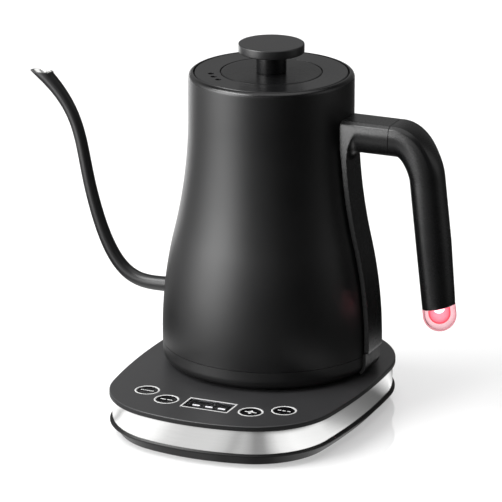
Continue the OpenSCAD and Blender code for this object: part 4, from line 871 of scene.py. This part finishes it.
def arm_section(grow=0.0, less=0.0, low=None):
    """The arm's section as (up, side) points; grow widens its round underside, low makes that square."""
    half, up, deep = STRIP_HALF - less, ARM_UP - less, ARM_DOWN + ROUND_FROM - less + grow
    right = [(half - BEVEL_W, up, 0.5), (half - 0.12, up - BEVEL_H, 0.5), (half + grow, ROUND_FROM, 0)]
    under = [((half + grow) * math.cos(a), ROUND_FROM - deep * math.sin(a), 0) for a in quarter(24)[1:]]
    if low is not None:
        right, under = right[:2] + [(half, ROUND_FROM, 0)], [(half, low, 0), (0, low, 0)]
    corners = right + under
    corners += [(-x, y, r) for x, y, r in reversed(corners[:-1])]
    loop = softened(corners, 0)
    out = []
    for angle in ANGLES:
        r = reach(loop, angle)
        if abs(math.cos(angle)) > 1e-6:
            r = min(r, half / abs(math.cos(angle)))
        out.append((r * math.sin(angle), r * math.cos(angle)))
    return out


def arm_ring(x, lean, **changes):
    way = Vector((math.cos(math.radians(lean)), -math.sin(math.radians(lean))))
    return set_across(Vector((x, ARM_Z)), way, arm_section(**changes))


def on_body(ring, gap):
    """A ring's points brought in to the body, a gap outside it."""
    return [(math.sqrt((body_r(z) + gap) ** 2 - y * y), y, z) for _, y, z in ring]


arm_face = body_r(STRIP_TOP) + STRIP_T
arm_foot = STRIP_TOP - ARM_Z
square = arm_ring(arm_face, 0, low=arm_foot)
fillet = [(FILLET * (1 - math.cos(a)), FILLET * (1 - math.sin(a))) for a in quarter(10)]
arm_rings = [on_body(square, STRIP_GAP), square]
arm_rings += [arm_ring(arm_face + out, 0, grow=FILLET - 0.3) for out in (0.001, FLANGE)]
arm_rings += [arm_ring(arm_face + FLANGE + out, 0, grow=grow) for out, grow in fillet[3:]]
arm_rings += [arm_ring(JOINT_X - JOINT_GAP / 2 - JOINT_EDGE, JOINT_LEAN),
              arm_ring(JOINT_X - JOINT_GAP / 2, JOINT_LEAN, less=JOINT_EDGE)]
arm = piece("arm_moulding", [skin(arm_rings, capped=True)], [handle_black], "kettle", ["handle_arm"],
            sharp=26)
lit_by_card.objects.link(arm)
dress(screw_steel, "handle_screw")

# --------------------------------
# Handle grip. A hollow black moulding turns down through the elbow, from the arm's flat-topped
# section to a round one, and hangs free at a slight lean. Its slanted end holds the clear dome.

GRIP_R, GRIP_LEAN, GRIP_MORE, PULL_IN, PULL_OUT, FADE = 10.33, 6.56, 0.18, 10.7, 8.3, 0.9
END_R, END_LEAN, POCKET_R, POCKET_DEEP = 9.8, 12.8, 8.5, 9
ELBOW_STEPS, GRIP_STEPS, TAPER_FROM = 44, 24, 0.5
ELBOW_FROM, ELBOW_TO, END = Vector((79.76, ARM_Z)), Vector((97.98, 148.62)), Vector((106.035, 72.6))


def hanging(lean):
    """The way down of a piece that hangs at a lean in degrees."""
    return Vector((math.sin(math.radians(lean)), -math.cos(math.radians(lean))))


grip_way, end_way = hanging(GRIP_LEAN), hanging(END_LEAN)
ELBOW = [ELBOW_FROM, ELBOW_FROM + Vector((PULL_IN, 0)), ELBOW_TO - PULL_OUT * grip_way, ELBOW_TO]


def round_section(radius):
    return [(radius * math.sin(a), radius * math.cos(a)) for a in ANGLES]


def elbow_section(share):
    """Blends from the arm's section to the round one, a little deeper half way round."""
    t = min(share / FADE, 1)
    eased = t * t * (3 - 2 * t)
    deep = (ARM_UP + ARM_DOWN) / 2 * (1 - share) + GRIP_R * share + GRIP_MORE * math.sin(math.pi * share)
    wide = STRIP_HALF + (GRIP_R - STRIP_HALF) * share
    power, out = 2.5 - 0.4 * share, []
    for (u, v), a in zip(arm_section(), ANGLES):
        r = (abs(math.cos(a) / wide) ** power + abs(math.sin(a) / deep) ** power) ** (-1 / power)
        out.append(((1 - eased) * u + eased * r * math.sin(a), (1 - eased) * v + eased * r * math.cos(a)))
    return out


grip_rings = [arm_ring(JOINT_X + JOINT_GAP / 2, JOINT_LEAN, less=JOINT_EDGE),
              arm_ring(JOINT_X + JOINT_GAP / 2 + JOINT_EDGE, JOINT_LEAN)]
for i in range(ELBOW_STEPS + 1):
    share = i / ELBOW_STEPS
    grip_rings.append(set_across(cubic(ELBOW, share), cubic_dir(ELBOW, share), elbow_section(share)))
last, length = elbow_section(1), (END - ELBOW_TO).dot(grip_way)
for i in range(1, GRIP_STEPS):
    share = i / GRIP_STEPS
    late = max(0, (share - TAPER_FROM) / (1 - TAPER_FROM))
    section = [((1 - late) * u + late * v, (1 - late) * p + late * q)
               for (u, p), (v, q) in zip(last, round_section(END_R))]
    centre = ELBOW_TO + share * length * grip_way
    centre.x -= late * (ELBOW_TO.x + length * grip_way.x - END.x)
    grip_rings.append(set_across(centre, grip_way, section))
grip_rings += [set_across(END - back * end_way, end_way, round_section(END_R - less))
               for back, less in ((0.35, 0.0), (0.1, 0.06), (0.0, 0.25))]
grip_rings += [set_across(END, end_way, round_section(POCKET_R)),
               set_across(END - POCKET_DEEP * grip_way, grip_way, round_section(POCKET_R))]
grip = piece("hanging_grip", [skin(grip_rings, capped=True)], [handle_black], "kettle", ["handle_grip"],
             sharp=26)
lit_by_card.objects.link(grip)

# --------------------------------
# Indicator. A clear cup with a round end closes the grip, its plastic tinted a faint rose. A thin
# rose light guide of the same form stands in it, under a white lamp on a small board. The guide's own
# faint rose glow is painted light: it stands in for the lamp light the guide carries and lifts the shade seen
# through it.

LENS_R, LENS_WALL, LENS_STRAIGHT, LENS_LEAN = 9.8, 1.2, 5.4, 6.8
GUIDE_R, GUIDE_WALL, GUIDE_STRAIGHT, LAMP_R, LAMP_STRAIGHT = 6.5, 0.7, 4.4, 3.5, 1.0
lens_way = hanging(LENS_LEAN)


def absorbing(material, colour, density):
    """Tints what shines through a clear piece by the thickness of plastic that it crosses."""
    tree = material.node_tree
    plastic = new_node(tree, "VolumeAbsorption")
    plastic.inputs["Color"].default_value = (*colour, 1)
    plastic.inputs["Density"].default_value = density
    link(plastic.outputs[0], tree.nodes["Material Output"].inputs["Volume"])


def dome(radius, straight, steps=18):
    """Rings of a round-ended rod along the lens axis, from its slanted top to the tip."""
    rings = [set_across(END + 0.15 * end_way, end_way, round_section(radius))]
    for turn in quarter(steps):
        a = min(turn, math.pi / 2 - 0.004)
        rings.append(set_across(END + (straight + radius * math.sin(a)) * lens_way, lens_way,
                                round_section(radius * math.cos(a))))
    return rings


def cup(radius, thickness, straight):
    """A dome with a thin wall."""
    return skin(dome(radius, straight) + dome(radius - thickness, straight)[::-1], looped=True)


lens_clear = finish("lens_clear", (1.0, 0.985, 0.988), 0.02, grain=0.0, spread=0.0)
see_through(lens_clear, 1.10)
absorbing(lens_clear, (0.80, 0.0, 0.12), 170)
piece("clear_dome", [cup(LENS_R, LENS_WALL, LENS_STRAIGHT)], [lens_clear], "kettle", ["indicator_lens"],
      sharp=60)

guide_rose = finish("guide_rose", (1.0, 0.97, 0.975), 0.02, grain=0.0, spread=0.0)
see_through(guide_rose, 1.03)
# Painted glow: the guide gives off light of its own, in place of the lamp light it carries
glowing(guide_rose, (1.0, 0.32, 0.42), 0.15)
absorbing(guide_rose, (0.90, 0.0, 0.14), 600)
piece("rose_guide", [cup(GUIDE_R, GUIDE_WALL, GUIDE_STRAIGHT)], [guide_rose], "kettle", ["light_guide"],
      sharp=60)

lamp_white = finish("lamp_white", (0.9, 0.9, 0.9), 0.3, grain=0.05)
glowing(lamp_white, (1, 1, 1), 4.0)
piece("white_lamp", [skin(dome(LAMP_R, LAMP_STRAIGHT, 10), capped=True)], [lamp_white], "kettle",
      ["indicator_lamp"], sharp=60)

# --------------------------------
# Lid. A flat black cap with a fine bevelled edge sits just inside the rolled rim, on a steel seat.
# A shadow groove rings its centre disc, and three small steam holes lie beside the groove.

LID_R, LID_Z, LID_BASE, DISC_R, DISC_GAP, DISC_T, SCREW_R = 44.8, 202.0, 198.8, 29.6, 0.7, 1.4, 2.1
VENT_R, VENT_RIM, VENT_RING, VENT_TURNS = 1.8, 0.2, 35.4, (-148.5, -137.6, -126.7)
lid_black = finish("lid_black", (0.0060, 0.0060, 0.0064), 0.26, grain=0.16, grain_size=0.30, spread=0.03,
                   specular=0.46)
disc_black = finish("disc_black", (0.0045, 0.0045, 0.0048), 0.27, grain=0.16, grain_size=0.30, spread=0.03,
                    specular=0.28)
well, disc, disc_z = DISC_R + DISC_GAP / 2, DISC_R - DISC_GAP / 2, LID_Z - DISC_T
rim = [(LID_R - 1.0, LID_Z), (LID_R - 0.5, LID_Z), (LID_R - 0.42, LID_Z - 0.01), (LID_R - 0.1, LID_Z - 0.3),
       (LID_R, LID_Z - 0.45), (LID_R, LID_BASE + 0.2), (LID_R - 0.2, LID_BASE), (SCREW_R, LID_BASE),
       (SCREW_R, disc_z), (well, disc_z), (well, LID_Z - 0.15), (well + 0.05, LID_Z - 0.04),
       (well + 0.2, LID_Z), (well + 0.6, LID_Z)]
vent = [(VENT_R + VENT_RIM, LID_Z), (VENT_R + 0.04, LID_Z), (VENT_R + 0.01, LID_Z - 0.03),
        (VENT_R, LID_Z - 0.08), (VENT_R, LID_BASE)]
parts = [lathe(rim, 160, looped=False)]
loops = [circle(LID_R - 1.0, count=160), circle(well + 0.6, count=160)]
for turn in VENT_TURNS:
    at = polar(VENT_RING, math.radians(turn))
    parts.append(wall(vent, lambda s: circle(s, at, 32)))
    loops.append(circle(VENT_R + VENT_RIM, at, 32))
parts.append(flat_face(loops, LID_Z))
piece("lid_plate", parts, [lid_black], "lid", ["lid_cap"])

disc_profile = softened([(SCREW_R, disc_z, 0), (disc, disc_z, 0), (disc, LID_Z, 0.2), (disc - 2, LID_Z, 0),
                         (SCREW_R, LID_Z, 0)], 0.2)
piece("centre_disc", [lathe(disc_profile, 160)], [disc_black], "lid", ["lid_disc"])

dress(finish("plug_plastic", (0.02, 0.02, 0.021), 0.5, grain=0.3), "lid_plug")

# --------------------------------
# Knob. A thin satin disc on a plain round stem, both turned and black, is held by one screw from
# inside the lid.

KNOB_R, KNOB_T, STEM_R, KNOB_Z, SCREW_DEEP = 19.3, 5.2, 8.8, 213.9, 3.2
LOW_ROUND, TOP_ROUND, KNOB_STEPS = 0.6, 0.7, (0, 0.39, 0.79, 1.18, 1.571)
knob_black = finish("knob_black", (0.0105, 0.0105, 0.011), 0.30, grain=0.25, grain_size=0.30, spread=0.08,
                    wear=0.2)
stem_black = finish("stem_black", (0.005, 0.005, 0.0053), 0.2, grain=0.15, grain_size=0.30, spread=0.06)
stem_profile = [(SCREW_R, LID_Z), (STEM_R - 0.5, LID_Z), (STEM_R - 0.45, LID_Z + 0.3),
                (STEM_R - 0.05, LID_Z + 0.5), (STEM_R, LID_Z + 0.7), (STEM_R, KNOB_Z - 0.5),
                (STEM_R, KNOB_Z), (SCREW_R, KNOB_Z)]
piece("turned_stem", [lathe(stem_profile, 96)], [stem_black], "lid", ["knob_stem"])
top = KNOB_Z + KNOB_T
knob_profile = [(SCREW_R, KNOB_Z), (KNOB_R - 1.2, KNOB_Z)]
knob_profile += [polar(LOW_ROUND, a - math.pi / 2, (KNOB_R - LOW_ROUND, KNOB_Z + LOW_ROUND))
                 for a in KNOB_STEPS]
knob_profile.append((KNOB_R, top - 0.9))
knob_profile += [polar(TOP_ROUND, a, (KNOB_R - TOP_ROUND, top - TOP_ROUND)) for a in KNOB_STEPS]
knob_profile += [(KNOB_R - 1.4, top), (KNOB_R / 2, top), (0, top), (0, KNOB_Z + SCREW_DEEP),
                 (SCREW_R, KNOB_Z + SCREW_DEEP)]
piece("turned_knob", [lathe(knob_profile, 160)], [knob_black], "lid", ["knob_cap"])
dress(screw_steel, "knob_screw")
